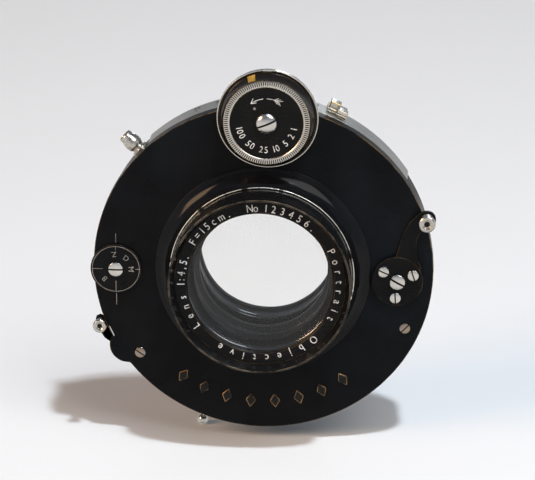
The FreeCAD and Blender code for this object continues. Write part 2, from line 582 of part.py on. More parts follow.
# ------------------------------------------------------------------ release lever
rel = doc.addObject("PartDesign::Body", "ReleaseLever")
sk = circle(rel, "ReleaseHub", 0.0, 0.0, d("release_hub"), d("release_rear"))
pad(rel, sk, d("release_front") - d("release_rear"))
rx, ry = VALUE["release_x"], VALUE["release_y"]
pts = [polar(42.45, -160.2), polar(42.45, -155.8), polar(39.6, -154.6), V(-33.6, -17.95, 0), V(-33.2, -20.2, 0),
       V(-33.6, -22.6, 0), V(-37.2, -21.7, 0), polar(43.6, -151.6), polar(44.35, -153.6), polar(44.6, -157.0),
       polar(44.7, -159.6), polar(44.2, -161.0), polar(43.2, -161.2)]
sk = outline(rel, "ReleaseArm", [(p.x - rx, p.y - ry) for p in pts], role="XY_Plane", level=d("release_rear"))
pad(rel, sk, d("release_front") - d("release_rear"))
sk = circle(rel, "ReleaseBore", 0.0, 0.0, d("release_stud") + 0.05, d("release_rear") - 0.5)
f = pad(rel, sk, 4.0, cut=True)
f.Reversed = True
node(rel, "release_lever", d("release_x"), d("release_y"))
node(turned([
    (0.0, d("release_front")), (d("release_pin_radius"), d("release_front")),
    (d("release_pin_radius"), d("release_head_rear") - 0.2), (d("release_head_radius"), d("release_head_rear")),
    (d("release_head_radius"), d("release_head_front") - 0.2), (d("release_head_radius") - 0.2, d("release_head_front")),
    (d("release_head_radius") - 0.6, d("release_head_front")), (0.6, d("release_head_front") - 0.3),
    (0.5, d("release_head_front") - 0.8), (0.0, d("release_head_front") - 0.8)]), "release_lever_pin",
    VALUE["release_x"] + VALUE["release_pin_x"], VALUE["release_y"] + VALUE["release_pin_y"])
node(fuse([cyl(d("release_stud"), 2.8, d("works_plate_front")), cyl(1.5, 0.6, d("works_plate_front"))]),
     "release_pivot_stud", d("release_x"), d("release_y"))
coils = []
for i in range(3):
    loop = doc.addObject("Part::Torus", fresh("ReleaseCoil"))
    loop.Radius1, loop.Radius2 = 1.35, 0.11
    bind(loop, "Radius1", d("release_stud") + 0.45)
    loop.Placement = FreeCAD.Placement(V(0, 0, VALUE["release_front"] + 0.16 + 0.2 * i), FreeCAD.Rotation())
    coils.append(loop)
leg = cyl(0.1, 3.0, d("release_front") + 0.16, d("release_stud") + 0.45, 0.0, rot=FreeCAD.Rotation(V(1, 0, 0), 90))
node(fuse(coils + [leg]), "release_spring", d("release_x"), d("release_y"), -60.0)
node(annulus(30.2, 30.6, d("works_plate_front") + 0.3, d("cover_under") - 0.9, 60.0, 190.0), "main_spring")

# ------------------------------------------------------------------ speed dial
collar = turned([
    (d("axle_radius") + d("axle_clear"), d("face_front") + 0.01), (d("collar_radius"), d("face_front") + 0.01),
    (d("collar_radius"), d("collar_front") - 0.1), (d("collar_radius") - 0.1, d("collar_front")),
    (d("collar_inner"), d("collar_front")), (d("collar_inner"), d("collar_floor")),
    (d("axle_radius") + d("axle_clear"), d("collar_floor"))])
notch = cube(-1.2, 1.2, 11.9, 13.5, d("collar_floor") + 0.15, 14.0)
third = screw_spots[2]
screw_room = cyl(1.6, 1.2, d("face_front") - 0.5, third.x - VALUE["dial_x"], third.y - VALUE["dial_y"])
node(cut(collar, [notch, screw_room]), "speed_dial_collar", d("dial_x"), d("dial_y"))
node(turned([
    (d("axle_radius") + 0.01, d("drum_rear")), (d("drum_foot"), d("drum_rear")), (d("drum_foot"), d("drum_step")),
    (d("drum_top_radius"), d("drum_top")), (d("knurl_inner") - 0.02, d("drum_top")),
    (d("knurl_inner") - 0.02, d("dial_face_rear")), (d("axle_radius") + 0.01, d("dial_face_rear"))]),
    "speed_dial_drum", d("dial_x"), d("dial_y"))
knurl = turned([
    (d("knurl_inner"), d("drum_top") + 0.01), (d("knurl_radius"), d("drum_top") + 0.01),
    (d("knurl_radius"), d("knurl_front") - 0.2), (d("knurl_radius") - 0.2, d("knurl_front")),
    (d("knurl_inner") + 0.25, d("knurl_front")), (d("knurl_inner"), d("knurl_front") - 0.2)])
sk = outline(knurl, "KnurlNotch", [
    (d("knurl_radius") + 0.3, 0.30), (d("knurl_radius") + 0.3, -0.30), (d("knurl_radius") - d("knurl_depth"), -0.02),
    (d("knurl_radius") - d("knurl_depth"), 0.02)], role="XY_Plane", level=d("drum_top") - 0.5)
notch = pad(knurl, sk, 2.0, cut=True)
notch.Reversed = True
doc.recompute()
pattern = knurl.newObject("PartDesign::PolarPattern", "KnurlTeeth")
pattern.Originals = [notch]
pattern.Axis = (sk, ["N_Axis"])
pattern.Angle = 360
pattern.Occurrences = VALUE["knurl_count"]
knurl.Tip = pattern
bind(pattern, "Occurrences", d("knurl_count"))
node(knurl, "speed_dial_knurl", d("dial_x"), d("dial_y"))
node(annulus(d("axle_radius") + 0.01, d("dial_face_radius"), d("dial_face_rear") + 0.01, d("dial_face_front")),
     "speed_dial_face", d("dial_x"), d("dial_y"))
node(slotted(d("dial_screw_radius"), d("dial_face_front") + 0.01, d("dial_screw_height"), d("axle_radius"), 9.1,
             0, 0, 0.55, 23.0, 2.9), "speed_dial_screw", d("dial_x"), d("dial_y"))
node(annulus(d("axle_radius") + 0.01, 1.5, 9.3, 10.5), "speed_pinion", d("dial_x"), d("dial_y"))

# ------------------------------------------------------------------ mode dial
node(turned([
    (0.75, d("mode_hub_rear")), (d("mode_hub"), d("mode_hub_rear")), (d("mode_hub"), d("mode_rear")),
    (d("mode_radius"), d("mode_rear")), (d("mode_radius"), d("mode_front") - 0.15),
    (d("mode_radius") - 0.15, d("mode_front")), (0.75, d("mode_front"))]), "mode_disc", d("mode_x"), d("mode_y"))
node(slotted(d("mode_screw_radius"), d("mode_front") + 0.01, 0.7, 0.74, 9.3, 0, 0, 0.45, 0.0, 3.0),
     "mode_screw", d("mode_x"), d("mode_y"))

# ------------------------------------------------------------------ cable release socket
socket = turned([
    (d("cable_bore"), 0.0), (2.2, 0.0), (2.2, 0.7), (1.65, 0.9), (1.65, 1.3), (2.05, 1.9), (2.15, 2.9),
    (2.0, 3.9), (1.75, 4.5), (1.7, 5.4), (1.55, 5.6), (d("cable_bore"), 5.6)])
tail = annulus(d("cable_bore"), 1.48, -0.7, 0.0)
sock = fuse([socket, tail])
sock.Label = "cable_release_socket"
radial = polar(1.0, VALUE["cable_angle"])
seat = FreeCAD.Placement(radial * (VALUE["case_wall_radius"] + 0.12) + V(0, 0, VALUE["cable_level"]),
                         FreeCAD.Rotation(V(0, 0, 1), radial))
node(sock, "cable_release_socket")
sock.Placement = STAND.multiply(seat)

# ------------------------------------------------------------------ aperture ring
plate = annulus(d("aperture_bore"), d("aperture_radius"), d("aperture_rear"), d("aperture_front"))
dog = cyl(d("dog_radius"), d("iris_ring_front") - 0.1 - d("aperture_rear"), d("aperture_rear"), d("dog_circle"), 0.0)
node(fuse([plate, dog]), "aperture_ring")
half_w = d("pointer_width") / 2
foot = cube(35.0, d("pointer_plate"), -half_w, half_w, d("foot_rear"), d("aperture_rear") - 0.01)
upright = cube(d("pointer_inner"), d("pointer_plate"), -half_w, half_w, d("foot_rear"), 6.2)
nib = cube(d("pointer_inner"), d("pointer_plate"), -half_w, 0.4, 6.0, 8.1)
high = cube(d("pointer_plate") - 0.1, 45.0, -0.3, half_w, 3.2, 6.2)
low = cube(d("pointer_plate") - 0.1, 44.3, -half_w, 0.4, 5.6, 8.1)
node(fuse([foot, upright, nib, high, low]), "aperture_pointer", turn=VALUE["pointer_angle"])
foot = cube(35.0, d("pointer_plate"), -1.6, 1.6, d("foot_rear"), d("aperture_rear") - 0.01)
upright = cube(d("pointer_inner") - 0.2, d("pointer_plate"), -1.6, 1.6, d("foot_rear"), 4.4)
stem = cyl(0.5, d("ball_reach") - d("pointer_plate") + 0.3, d("ball_level"), d("pointer_plate") - 0.3, 0.0,
           rot=FreeCAD.Rotation(V(0, 1, 0), 90))
knob = ball(d("ball_radius"), d("ball_level"))
knob.Placement = FreeCAD.Placement(V(VALUE["ball_reach"], 0, VALUE["ball_level"]), FreeCAD.Rotation())
knob.setExpression("Placement.Base.x", "Dims.ball_reach")
neck = cyl(0.85, 0.6, d("ball_level"), d("pointer_plate") - 0.05, 0.0, rot=FreeCAD.Rotation(V(0, 1, 0), 90))
node(fuse([foot, upright, stem, neck, knob]), "aperture_ball_pin", turn=VALUE["ball_angle"])


def cam_slot(pivot, arm, start, close, turn, width, z0, z1):
    """Slot traced in a turning ring by a pin carried on a blade."""
    pts = []
    steps = 24
    for i in range(steps + 1):
        u = -0.04 + 1.08 * i / steps
        q = V(pivot, 0, 0) + polar(arm, start + close * u)
        pts.append(FreeCAD.Rotation(V(0, 0, 1), -turn * u).multVec(q))
    left, right = [], []
    for i, p in enumerate(pts):
        t = (pts[min(i + 1, steps)] - pts[max(i - 1, 0)]).normalize()
        n = V(-t.y, t.x, 0) * (width / 2.0)
        left.append(p + n)
        right.append(p - n)
    loop = left + right[::-1] + [left[0]]
    solid = Part.Face(Part.makePolygon(loop)).extrude(V(0, 0, z1 - z0))
    ends = [Part.makeCylinder(width / 2.0, z1 - z0, p) for p in (pts[0], pts[-1])]
    solid = solid.fuse(ends)
    solid.translate(V(0, 0, z0))
    return solid


def cam_ring(name, count, bore, radius, z0, z1, pivot, arm, start, close, turn, width, extra=None):
    plate = Part.makeCylinder(radius, z1 - z0, V(0, 0, z0)).cut(Part.makeCylinder(bore, z1 - z0 + 2, V(0, 0, z0 - 1)))
    slot = cam_slot(pivot, arm, start, close, turn, width, z0 - 0.5, z1 + 0.5)
    tools = []
    for k in range(count):
        s = slot.copy()
        s.rotate(V(0, 0, 0), V(0, 0, 1), 360.0 * k / count)
        tools.append(s)
    if extra is not None:
        tools.append(extra)
    obj = doc.addObject("Part::Feature", fresh("CamRing"))
    obj.Shape = plate.cut(tools)
    return node(obj, name)


cam_ring("iris_cam_ring", VALUE["iris_count"], VALUE["iris_ring_bore"], VALUE["iris_ring_radius"],
         VALUE["iris_ring_rear"], VALUE["iris_ring_front"], VALUE["iris_pivot_radius"], VALUE["iris_drive_arm"],
         VALUE["iris_drive_start"], VALUE["iris_close"], VALUE["iris_turn"], VALUE["iris_slot_width"],
         Part.makeCylinder(VALUE["dog_radius"] + 0.02, 3.0, V(VALUE["dog_circle"], 0, 1.5)))
cam_ring("blade_drive_ring", VALUE["blade_count"], VALUE["drive_ring_bore"], VALUE["drive_ring_radius"],
         VALUE["drive_ring_rear"], VALUE["drive_ring_front"], VALUE["blade_pivot_radius"], VALUE["blade_drive_arm"],
         VALUE["blade_drive_start"], VALUE["blade_close"], -VALUE["blade_turn"], VALUE["blade_slot_width"])

# ------------------------------------------------------------------ iris blades
for k in range(VALUE["iris_count"]):
    low = d("iris_level") + d("iris_pitch") * k
    top = low + d("iris_blade_thick")
    leaf = annulus(d("iris_inner"), d("iris_outer"), low, top, 0.0, d("iris_span"))
    heel = cyl(1.9, d("iris_blade_thick"), low, d("iris_pivot_radius") - 0.4, 0.3)
    q = V(VALUE["iris_pivot_radius"], 0, 0) + polar(VALUE["iris_drive_arm"], VALUE["iris_drive_start"])
    ear = cyl(1.1, d("iris_blade_thick"), low, q.x, q.y)
    web = cyl(1.5, d("iris_blade_thick"), low, (q.x + VALUE["iris_pivot_radius"]) / 2.0, q.y / 2.0)
    pivot = cyl(d("iris_pin_radius"), d("seat_plate_front") - 0.05 - low, low, d("iris_pivot_radius"), 0.0)
    drive = cyl(0.38, top - d("iris_ring_rear") - 0.1, d("iris_ring_rear") + 0.1, q.x, q.y)
    node(fuse([leaf, heel, ear, web, pivot, drive]), "iris_blade_%02d" % (k + 1), turn=360.0 * k / VALUE["iris_count"])

# ------------------------------------------------------------------ shutter blades
for k in range(VALUE["blade_count"]):
    low = d("blade_level") + d("blade_pitch") * k
    top = low + d("blade_thick")
    leaf = annulus(d("blade_inner"), d("blade_outer"), low, top, 0.0, d("blade_span"))
    heel = cyl(1.7, d("blade_thick"), low, d("blade_pivot_radius"), 0.4)
    q = V(VALUE["blade_pivot_radius"], 0, 0) + polar(VALUE["blade_drive_arm"], VALUE["blade_drive_start"])
    ear = cyl(0.9, d("blade_thick"), low, q.x, q.y)
    web = cyl(1.3, d("blade_thick"), low, (q.x + VALUE["blade_pivot_radius"]) / 2.0, q.y / 2.0)
    link = cube(32.5, 36.0, 0.3, 3.0, low, top)
    pivot = cyl(d("blade_pin_radius"), top - d("seat_plate_rear") - 0.05, d("seat_plate_rear") + 0.05,
                d("blade_pivot_radius"), 0.0)
    drive = cyl(0.42, d("drive_ring_front") - 0.05 - low, low, q.x, q.y)
    node(fuse([leaf, heel, ear, web, link, pivot, drive]), "shutter_blade_%d" % (k + 1),
         turn=360.0 * k / VALUE["blade_count"])

doc.recompute()
bad = 0
for obj in doc.Objects:
    if "Invalid" in obj.State or "Error" in obj.State:
        print("object in error:", obj.Name, obj.Label, obj.State)
        bad += 1
for obj in NODES:
    shape = obj.Shape
    if shape.isNull() or not shape.isValid() or not shape.Solids:
        print("bad shape:", obj.Label)
        bad += 1
        continue
    shape.exportStep("parts/%s.step" % obj.Label)
    b = shape.BoundBox
    print("%-24s solids %d volume %9.2f  x %.2f..%.2f y %.2f..%.2f z %.2f..%.2f" % (
        obj.Label, len(shape.Solids), shape.Volume, b.XMin, b.XMax, b.YMin, b.YMax, b.ZMin, b.ZMax))
print("nodes", len(NODES), "bad", bad)
if bad:
    raise RuntimeError("%d objects need repair" % bad)
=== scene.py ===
import math
import random

import bpy
from mathutils import Matrix, Vector


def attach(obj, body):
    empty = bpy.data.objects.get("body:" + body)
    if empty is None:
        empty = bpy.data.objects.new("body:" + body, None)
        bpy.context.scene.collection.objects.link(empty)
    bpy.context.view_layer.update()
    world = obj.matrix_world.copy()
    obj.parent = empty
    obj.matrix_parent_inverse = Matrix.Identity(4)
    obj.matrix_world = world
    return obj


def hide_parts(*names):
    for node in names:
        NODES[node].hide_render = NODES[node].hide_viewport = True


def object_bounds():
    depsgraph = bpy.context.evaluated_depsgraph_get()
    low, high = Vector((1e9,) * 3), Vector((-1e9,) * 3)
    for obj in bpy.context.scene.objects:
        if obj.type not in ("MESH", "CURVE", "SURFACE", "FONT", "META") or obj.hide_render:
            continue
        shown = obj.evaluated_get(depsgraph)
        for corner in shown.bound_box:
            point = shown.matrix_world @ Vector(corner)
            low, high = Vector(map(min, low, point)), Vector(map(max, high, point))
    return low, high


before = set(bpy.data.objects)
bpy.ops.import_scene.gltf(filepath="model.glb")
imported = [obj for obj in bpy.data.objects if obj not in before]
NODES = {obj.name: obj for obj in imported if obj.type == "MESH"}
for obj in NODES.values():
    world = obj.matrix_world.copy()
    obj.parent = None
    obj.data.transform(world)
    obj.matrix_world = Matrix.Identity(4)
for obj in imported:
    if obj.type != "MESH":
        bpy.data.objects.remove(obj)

before = [list(v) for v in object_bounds()]
scene = bpy.context.scene
random.seed(7)


# ------------------------------------------------------------------ helpers
def row(x, y, z):
    """Optical coordinates in mm (x right, y up, z to the front) to the row frame in metres."""
    return Vector((x * 0.001, -z * 0.001, y * 0.001))


def mesh_piece(name, verts, faces, mat, body, replaces=(), wear=None, mats=None, face_mats=None):
    me = bpy.data.meshes.new(name)
    me.from_pydata([row(*v) for v in verts], [], faces)
    me.validate()
    for p in me.polygons:
        p.use_smooth = True
    if wear is not None:
        at = me.attributes.new("wear", "FLOAT", "POINT")
        at.data.foreach_set("value", [float(w) for w in wear])
    me.materials.append(mat)
    for m in mats or []:
        me.materials.append(m)
    if face_mats:
        for p, i in zip(me.polygons, face_mats):
            p.material_index = i
    me.update()
    ob = bpy.data.objects.new(name, me)
    scene.collection.objects.link(ob)
    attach(ob, body)
    if replaces:
        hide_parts(*replaces)
    return ob


def fillet_profile(pts, radius=0.08, n=3, closed=True, support=0.03):
    """Rounds the corners of a half section. Returns (r, z, wear) points."""
    out = []
    m = len(pts)
    area = sum(pts[i][0] * pts[(i + 1) % m][1] - pts[(i + 1) % m][0] * pts[i][1] for i in range(m))
    sgn = 1.0 if area > 0 else -1.0
    for i, p in enumerate(pts):
        r = p[2] if len(p) > 2 else radius
        if (not closed and i in (0, m - 1)) or p[0] < 1e-6 or r <= 0:
            out.append((p[0], p[1], 0.0))
            continue
        a, b = pts[i - 1], pts[(i + 1) % m]
        va = Vector((a[0] - p[0], a[1] - p[1]))
        vb = Vector((b[0] - p[0], b[1] - p[1]))
        la, lb = va.length, vb.length
        if la < 1e-6 or lb < 1e-6:
            continue
        va /= la
        vb /= lb
        cosang = max(-1.0, min(1.0, va.dot(vb)))
        ang = math.acos(cosang)
        if ang > math.radians(172):
            out.append((p[0], p[1], 0.0))
            continue
        t = min(r / math.tan(ang / 2), 0.42 * la, 0.42 * lb)
        rr = t * math.tan(ang / 2)
        cen = Vector((p[0], p[1])) + (va + vb).normalized() * (rr / math.sin(ang / 2))
        convex = 1.0 if (va.cross(vb)) * sgn < 0 else 0.0
        s = Vector((p[0], p[1])) + va * t
        e = Vector((p[0], p[1])) + vb * t
        if support and la > t + 2.2 * support:
            q = s + va * support
            out.append((q.x, q.y, 0.0))
        sa = math.atan2(s.y - cen.y, s.x - cen.x)
        ea = math.atan2(e.y - cen.y, e.x - cen.x)
        d = (ea - sa + math.pi) % (2 * math.pi) - math.pi
        for k in range(n + 1):
            th = sa + d * k / n
            out.append((cen.x + rr * math.cos(th), cen.y + rr * math.sin(th), convex))
        if support and lb > t + 2.2 * support:
            q = e + vb * support
            out.append((q.x, q.y, 0.0))
    return out


def lathe(name, pts, mat, body, replaces=(), at=(0.0, 0.0), segs=240, fillet=0.08, closed=True, n=3, radial=None,
          ripple=None, raw=False, inner=None, grooves=None, facets=False):
    """Solid of revolution about the z axis through (x, y). radial(r, z, theta) gives the radius to use at each angle.
    """
    prof = [(p[0], p[1], p[2] if len(p) > 2 else 0.0) for p in pts] if raw else fillet_profile(pts, fillet, n, closed)
    verts, wear, faces, slots = [], [], [], []
    m = len(prof)
    for j in range(segs):
        th = 2 * math.pi * j / segs
        c, s = math.cos(th), math.sin(th)
        for i, (r, z, w) in enumerate(prof):
            rr = r
            zz = z
            if ripple:
                rr, zz = ripple(r, z, j, segs)
            if radial:
                rr = radial(rr, z, th)
            verts.append((at[0] + rr * c, at[1] + rr * s, zz))
            wear.append(w)
    span = m if closed else m - 1
    area = sum(prof[i][0] * prof[(i + 1) % m][1] - prof[(i + 1) % m][0] * prof[i][1] for i in range(m))
    for j in range(segs):
        k = (j + 1) % segs
        for i in range(span):
            q = (i + 1) % m
            a, b, c2, d2 = j * m + i, k * m + i, k * m + q, j * m + q
            if prof[i][0] < 1e-6 and prof[q][0] < 1e-6:
                continue
            faces.append((a, b, c2, d2) if area < 0 else (a, d2, c2, b))
            if grooves and grooves(j, min(prof[i][0], prof[q][0]), min(prof[i][1], prof[q][1])):
                slots.append(1)
                continue
            slots.append(1 if inner and max(prof[i][0], prof[q][0]) < inner[0] and max(prof[i][1], prof[q][1]) < inner[1] else 0)
    ob = mesh_piece(name, verts, faces, mat, body, replaces, wear, [inner[2]] if inner else None, slots if inner else None)
    clean(ob)
    if facets:
        for p in ob.data.polygons:
            p.use_smooth = False
    return ob


def clean(ob):
    import bmesh
    bm = bmesh.new()
    bm.from_mesh(ob.data)
    bmesh.ops.remove_doubles(bm, verts=bm.verts, dist=1e-8)
    bmesh.ops.dissolve_degenerate(bm, edges=bm.edges, dist=1e-9)
    bmesh.ops.recalc_face_normals(bm, faces=bm.faces)
    for f in bm.faces:
        f.smooth = True
    bm.to_mesh(ob.data)
    bm.free()


def slab(name, outline, z0, z1, mat, body, replaces=(), bevel=0.12, at=(0.0, 0.0), turn=0.0, n=3, top_wear=1.0):
    """Plate from a 2-D outline (counter-clockwise, mm) with rounded rims."""
    m = len(outline)
    nrm = []
    for i in range(m):
        a, p, b = outline[i - 1], outline[i], outline[(i + 1) % m]
        e1 = Vector((p[0] - a[0], p[1] - a[1])).normalized()
        e2 = Vector((b[0] - p[0], b[1] - p[1])).normalized()
        t = (e1 + e2)
        t = t.normalized() if t.length > 1e-6 else e1
        k = 1.0 / max(0.5, math.sqrt(max(0.0, (1 + e1.dot(e2)) / 2)))
        nrm.append((-t.y * k, t.x * k))
    rings = []
    rings.append((bevel + 0.04, z0, 0.0))
    for k in range(n + 1):
        a = math.pi / 2 * k / n
        rings.append((bevel * (1 - math.sin(a)), z0 + bevel * (1 - math.cos(a)), 0.6))
    rings.append((0.0, z0 + bevel + 0.03, 0.0))
    rings.append((0.0, z1 - bevel - 0.03, 0.0))
    for k in range(n + 1):
        a = math.pi / 2 * k / n
        rings.append((bevel * (1 - math.cos(a)), z1 - bevel * (1 - math.sin(a)), top_wear))
    rings.append((bevel + 0.04, z1, 0.0))
    ct, st = math.cos(turn), math.sin(turn)
    verts, wear = [], []
    for off, z, w in rings:
        for p, q in zip(outline, nrm):
            x, y = p[0] + q[0] * off, p[1] + q[1] * off
            verts.append((at[0] + x * ct - y * st, at[1] + x * st + y * ct, z))
            wear.append(w)
    faces = []
    for k in range(len(rings) - 1):
        for i in range(m):
            j = (i + 1) % m
            faces.append((k * m + i, k * m + j, (k + 1) * m + j, (k + 1) * m + i))
    faces.append(tuple(range(m))[::-1])
    faces.append(tuple((len(rings) - 1) * m + i for i in range(m)))
    ob = mesh_piece(name, verts, faces, mat, body, replaces, wear)
    clean(ob)
    return ob


def smooth_outline(pts, closed=True, steps=8):
    """Catmull-Rom curve through the given points."""
    out = []
    m = len(pts)
    for i in range(m):
        p0, p1, p2, p3 = pts[i - 1], pts[i], pts[(i + 1) % m], pts[(i + 2) % m]
        for k in range(steps):
            t = k / steps
            out.append(tuple(0.5 * ((2 * p1[c]) + (-p0[c] + p2[c]) * t + (2 * p0[c] - 5 * p1[c] + 4 * p2[c] - p3[c]) * t * t
                                    + (-p0[c] + 3 * p1[c] - 3 * p2[c] + p3[c]) * t ** 3) for c in range(2)))
    return out


def disc(x, y, r, n=64):
    return [(x + r * math.cos(2 * math.pi * i / n), y + r * math.sin(2 * math.pi * i / n)) for i in range(n)]


def box_mesh(name, x0, x1, y0, y1, z0, z1, mat, body, bevel=0.15, at=(0, 0), turn=0.0, replaces=()):
    b = bevel
    pts = []
    for cx, cy, a0 in ((x1 - b, y0 + b, -90), (x1 - b, y1 - b, 0), (x0 + b, y1 - b, 90), (x0 + b, y0 + b, 180)):
        for k in range(5):
            a = math.radians(a0 + 90 * k / 4)
            pts.append((cx + b * math.cos(a), cy + b * math.sin(a)))
    return slab(name, pts, z0, z1, mat, body, replaces, bevel=b * 0.9, at=at, turn=turn)


# ------------------------------------------------------------------ materials
def base_material(name):
    m = bpy.data.materials.new(name)
    m.use_nodes = True
    nt = m.node_tree
    nt.nodes.clear()
    out = nt.nodes.new("ShaderNodeOutputMaterial")
    return m, nt, out


def noise(nt, scale, detail=6.0, rough=0.6, vec=None, dist=0.0):
    n = nt.nodes.new("ShaderNodeTexNoise")
    n.inputs["Scale"].default_value = scale
    n.inputs["Detail"].default_value = detail
    n.inputs["Roughness"].default_value = rough
    n.inputs["Distortion"].default_value = dist
    if vec is not None:
        nt.links.new(vec, n.inputs["Vector"])
    return n.outputs["Fac"]


def coords(nt, scale=(1, 1, 1)):
    tc = nt.nodes.new("ShaderNodeTexCoord")
    mp = nt.nodes.new("ShaderNodeMapping")
    mp.inputs["Scale"].default_value = scale
    nt.links.new(tc.outputs["Object"], mp.inputs["Vector"])
    return mp.outputs["Vector"]


def ramp(nt, fac, stops):
    r = nt.nodes.new("ShaderNodeValToRGB")
    el = r.color_ramp.elements
    while len(el) > 1:
        el.remove(el[0])
    el[0].position = stops[0][0]
    c = stops[0][1]
    el[0].color = (c, c, c, 1) if not isinstance(c, tuple) else (*c, 1)
    for p, c in stops[1:]:
        e = el.new(p)
        e.color = (c, c, c, 1) if not isinstance(c, tuple) else (*c, 1)
    nt.links.new(fac, r.inputs["Fac"])
    return r.outputs["Color"]


def mathn(nt, op, a, b=None, clamp=False):
    n = nt.nodes.new("ShaderNodeMath")
    n.operation = op
    n.use_clamp = clamp
    for i, v in enumerate((a, b)):
        if v is None:
            continue
        if isinstance(v, (int, float)):
            n.inputs[i].default_value = v
        else:
            nt.links.new(v, n.inputs[i])
    return n.outputs[0]


def mixc(nt, fac, a, b):
    n = nt.nodes.new("ShaderNodeMix")
    n.data_type = "RGBA"
    if isinstance(fac, (int, float)):
        n.inputs["Factor"].default_value = fac
    else:
        nt.links.new(fac, n.inputs["Factor"])
    for idx, v in ((6, a), (7, b)):
        if isinstance(v, tuple):
            n.inputs[idx].default_value = (*v, 1)
        else:
            nt.links.new(v, n.inputs[idx])
    return n.outputs[2]


def mixf(nt, fac, a, b):
    n = nt.nodes.new("ShaderNodeMix")
    n.data_type = "FLOAT"
    if isinstance(fac, (int, float)):
        n.inputs["Factor"].default_value = fac
    else:
        nt.links.new(fac, n.inputs["Factor"])
    for idx, v in ((2, a), (3, b)):
        if isinstance(v, (int, float)):
            n.inputs[idx].default_value = v
        else:
            nt.links.new(v, n.inputs[idx])
    return n.outputs[0]


def bump(nt, height, strength, distance=0.0001, normal=None):
    b = nt.nodes.new("ShaderNodeBump")
    b.inputs["Strength"].default_value = strength
    b.inputs["Distance"].default_value = distance
    nt.links.new(height, b.inputs["Height"])
    if normal is not None:
        nt.links.new(normal, b.inputs["Normal"])
    return b.outputs["Normal"]


def attribute(nt, name):
    a = nt.nodes.new("ShaderNodeAttribute")
    a.attribute_name = name
    return a.outputs["Fac"]


def painted(name, tone, rough, wear_amount, metal=(0.45, 0.27, 0.10), coat=0.35, orange=0.08, coat_rough=0.12,
            brown=(0.030, 0.016, 0.008), spec=0.5, painted_sheen=None, ior=1.5):
    """Baked enamel over brass: gloss variation, handling marks, wear to brown and brass along rims, and an optional
    painted reflection of bluish patches in the base colour.
    """
    m, nt, out = base_material(name)
    b = nt.nodes.new("ShaderNodeBsdfPrincipled")
    co = coords(nt)
    n1 = noise(nt, 90.0, 8, 0.62, co)
    n2 = noise(nt, 700.0, 4, 0.5, co)
    n3 = noise(nt, 3200.0, 3, 0.6, co)
    scr = noise(nt, 60.0, 10, 0.75, coords(nt, (1, 1, 14)), 0.4)
    wear = attribute(nt, "wear")
    patch = ramp(nt, noise(nt, 240.0, 8, 0.68, co), [(0.42, 0.0), (0.60, 1.0)])
    mask = mathn(nt, "MULTIPLY", mathn(nt, "MULTIPLY", wear, patch), wear_amount, True)
    soft = mathn(nt, "MULTIPLY", mathn(nt, "MULTIPLY", wear, ramp(nt, n1, [(0.3, 0.0), (0.65, 1.0)])), wear_amount * 1.6, True)
    tint = mixc(nt, ramp(nt, n1, [(0.35, 0.0), (0.75, 1.0)]), tone, tuple(c * 1.7 + 0.001 for c in tone))
    # bluish patches painted into the base colour: a painted reflection of a bluish light, not the enamel's own colour
    if painted_sheen:
        tint = mixc(nt, ramp(nt, noise(nt, 38.0, 4, 0.5, co), [(0.47, 0.0), (0.66, 1.0)]), tint, painted_sheen)
    tint = mixc(nt, mathn(nt, "MULTIPLY", soft, 0.8), tint, brown)
    color = mixc(nt, mask, tint, mixc(nt, n2, metal, tuple(c * 1.6 for c in metal)))
    nt.links.new(color, b.inputs["Base Color"])
    nt.links.new(mask, b.inputs["Metallic"])
    rg = mixf(nt, ramp(nt, n1, [(0.3, 0.0), (0.7, 1.0)]), rough * 0.8, rough * 1.35)
    rg = mathn(nt, "ADD", rg, mathn(nt, "MULTIPLY", ramp(nt, scr, [(0.55, 0.0), (0.63, 1.0)]), 0.07))
    rg = mixf(nt, mask, rg, 0.34)
    nt.links.new(rg, b.inputs["Roughness"])
    b.inputs["Specular IOR Level"].default_value = spec
    b.inputs["IOR"].default_value = ior
    b.inputs["Coat Weight"].default_value = coat
    b.inputs["Coat Roughness"].default_value = coat_rough
    nrm = bump(nt, n2, orange, 0.00002)
    nrm = bump(nt, n3, orange * 0.7, 0.000006, nrm)
    nrm = bump(nt, mask, 0.5, -0.00003, nrm)
    nt.links.new(nrm, b.inputs["Normal"])
    nt.links.new(b.outputs[0], out.inputs[0])
    return m


def metal(name, tone, rough, worn=None, worn_amount=0.6, scratch=0.12, dirt=0.5, stretch=(1, 1, 1), dark=(0.05, 0.04, 0.03)):
    m, nt, out = base_material(name)
    b = nt.nodes.new("ShaderNodeBsdfPrincipled")
    co = coords(nt)
    n1 = noise(nt, 160.0, 8, 0.6, co)
    n2 = noise(nt, 1400.0, 5, 0.6, coords(nt, stretch), 0.2)
    wear = attribute(nt, "wear")
    color = mixc(nt, ramp(nt, n1, [(0.35, 0.0), (0.7, 1.0)]), tone, tuple(c * 0.82 for c in tone))
    if worn:
        mask = mathn(nt, "MULTIPLY", mathn(nt, "MULTIPLY", wear, ramp(nt, n1, [(0.38, 0.0), (0.56, 1.0)])), worn_amount, True)
        color = mixc(nt, mask, color, worn)
    spots = mathn(nt, "MULTIPLY", ramp(nt, noise(nt, 420.0, 9, 0.75, co), [(0.56, 0.0), (0.70, 1.0)]), dirt, True)
    color = mixc(nt, spots, color, dark)
    nt.links.new(color, b.inputs["Base Color"])
    nt.links.new(mixf(nt, spots, 1.0, 0.55), b.inputs["Metallic"])
    rg = mixf(nt, ramp(nt, n2, [(0.3, 0.0), (0.7, 1.0)]), rough * 0.75, rough * 1.4)
    rg = mixf(nt, spots, rg, 0.6)
    nt.links.new(rg, b.inputs["Roughness"])
    nrm = bump(nt, n2, scratch, 0.00001)
    nrm = bump(nt, n1, scratch, 0.00003, nrm)
    nt.links.new(nrm, b.inputs["Normal"])
    nt.links.new(b.outputs[0], out.inputs[0])
    return m


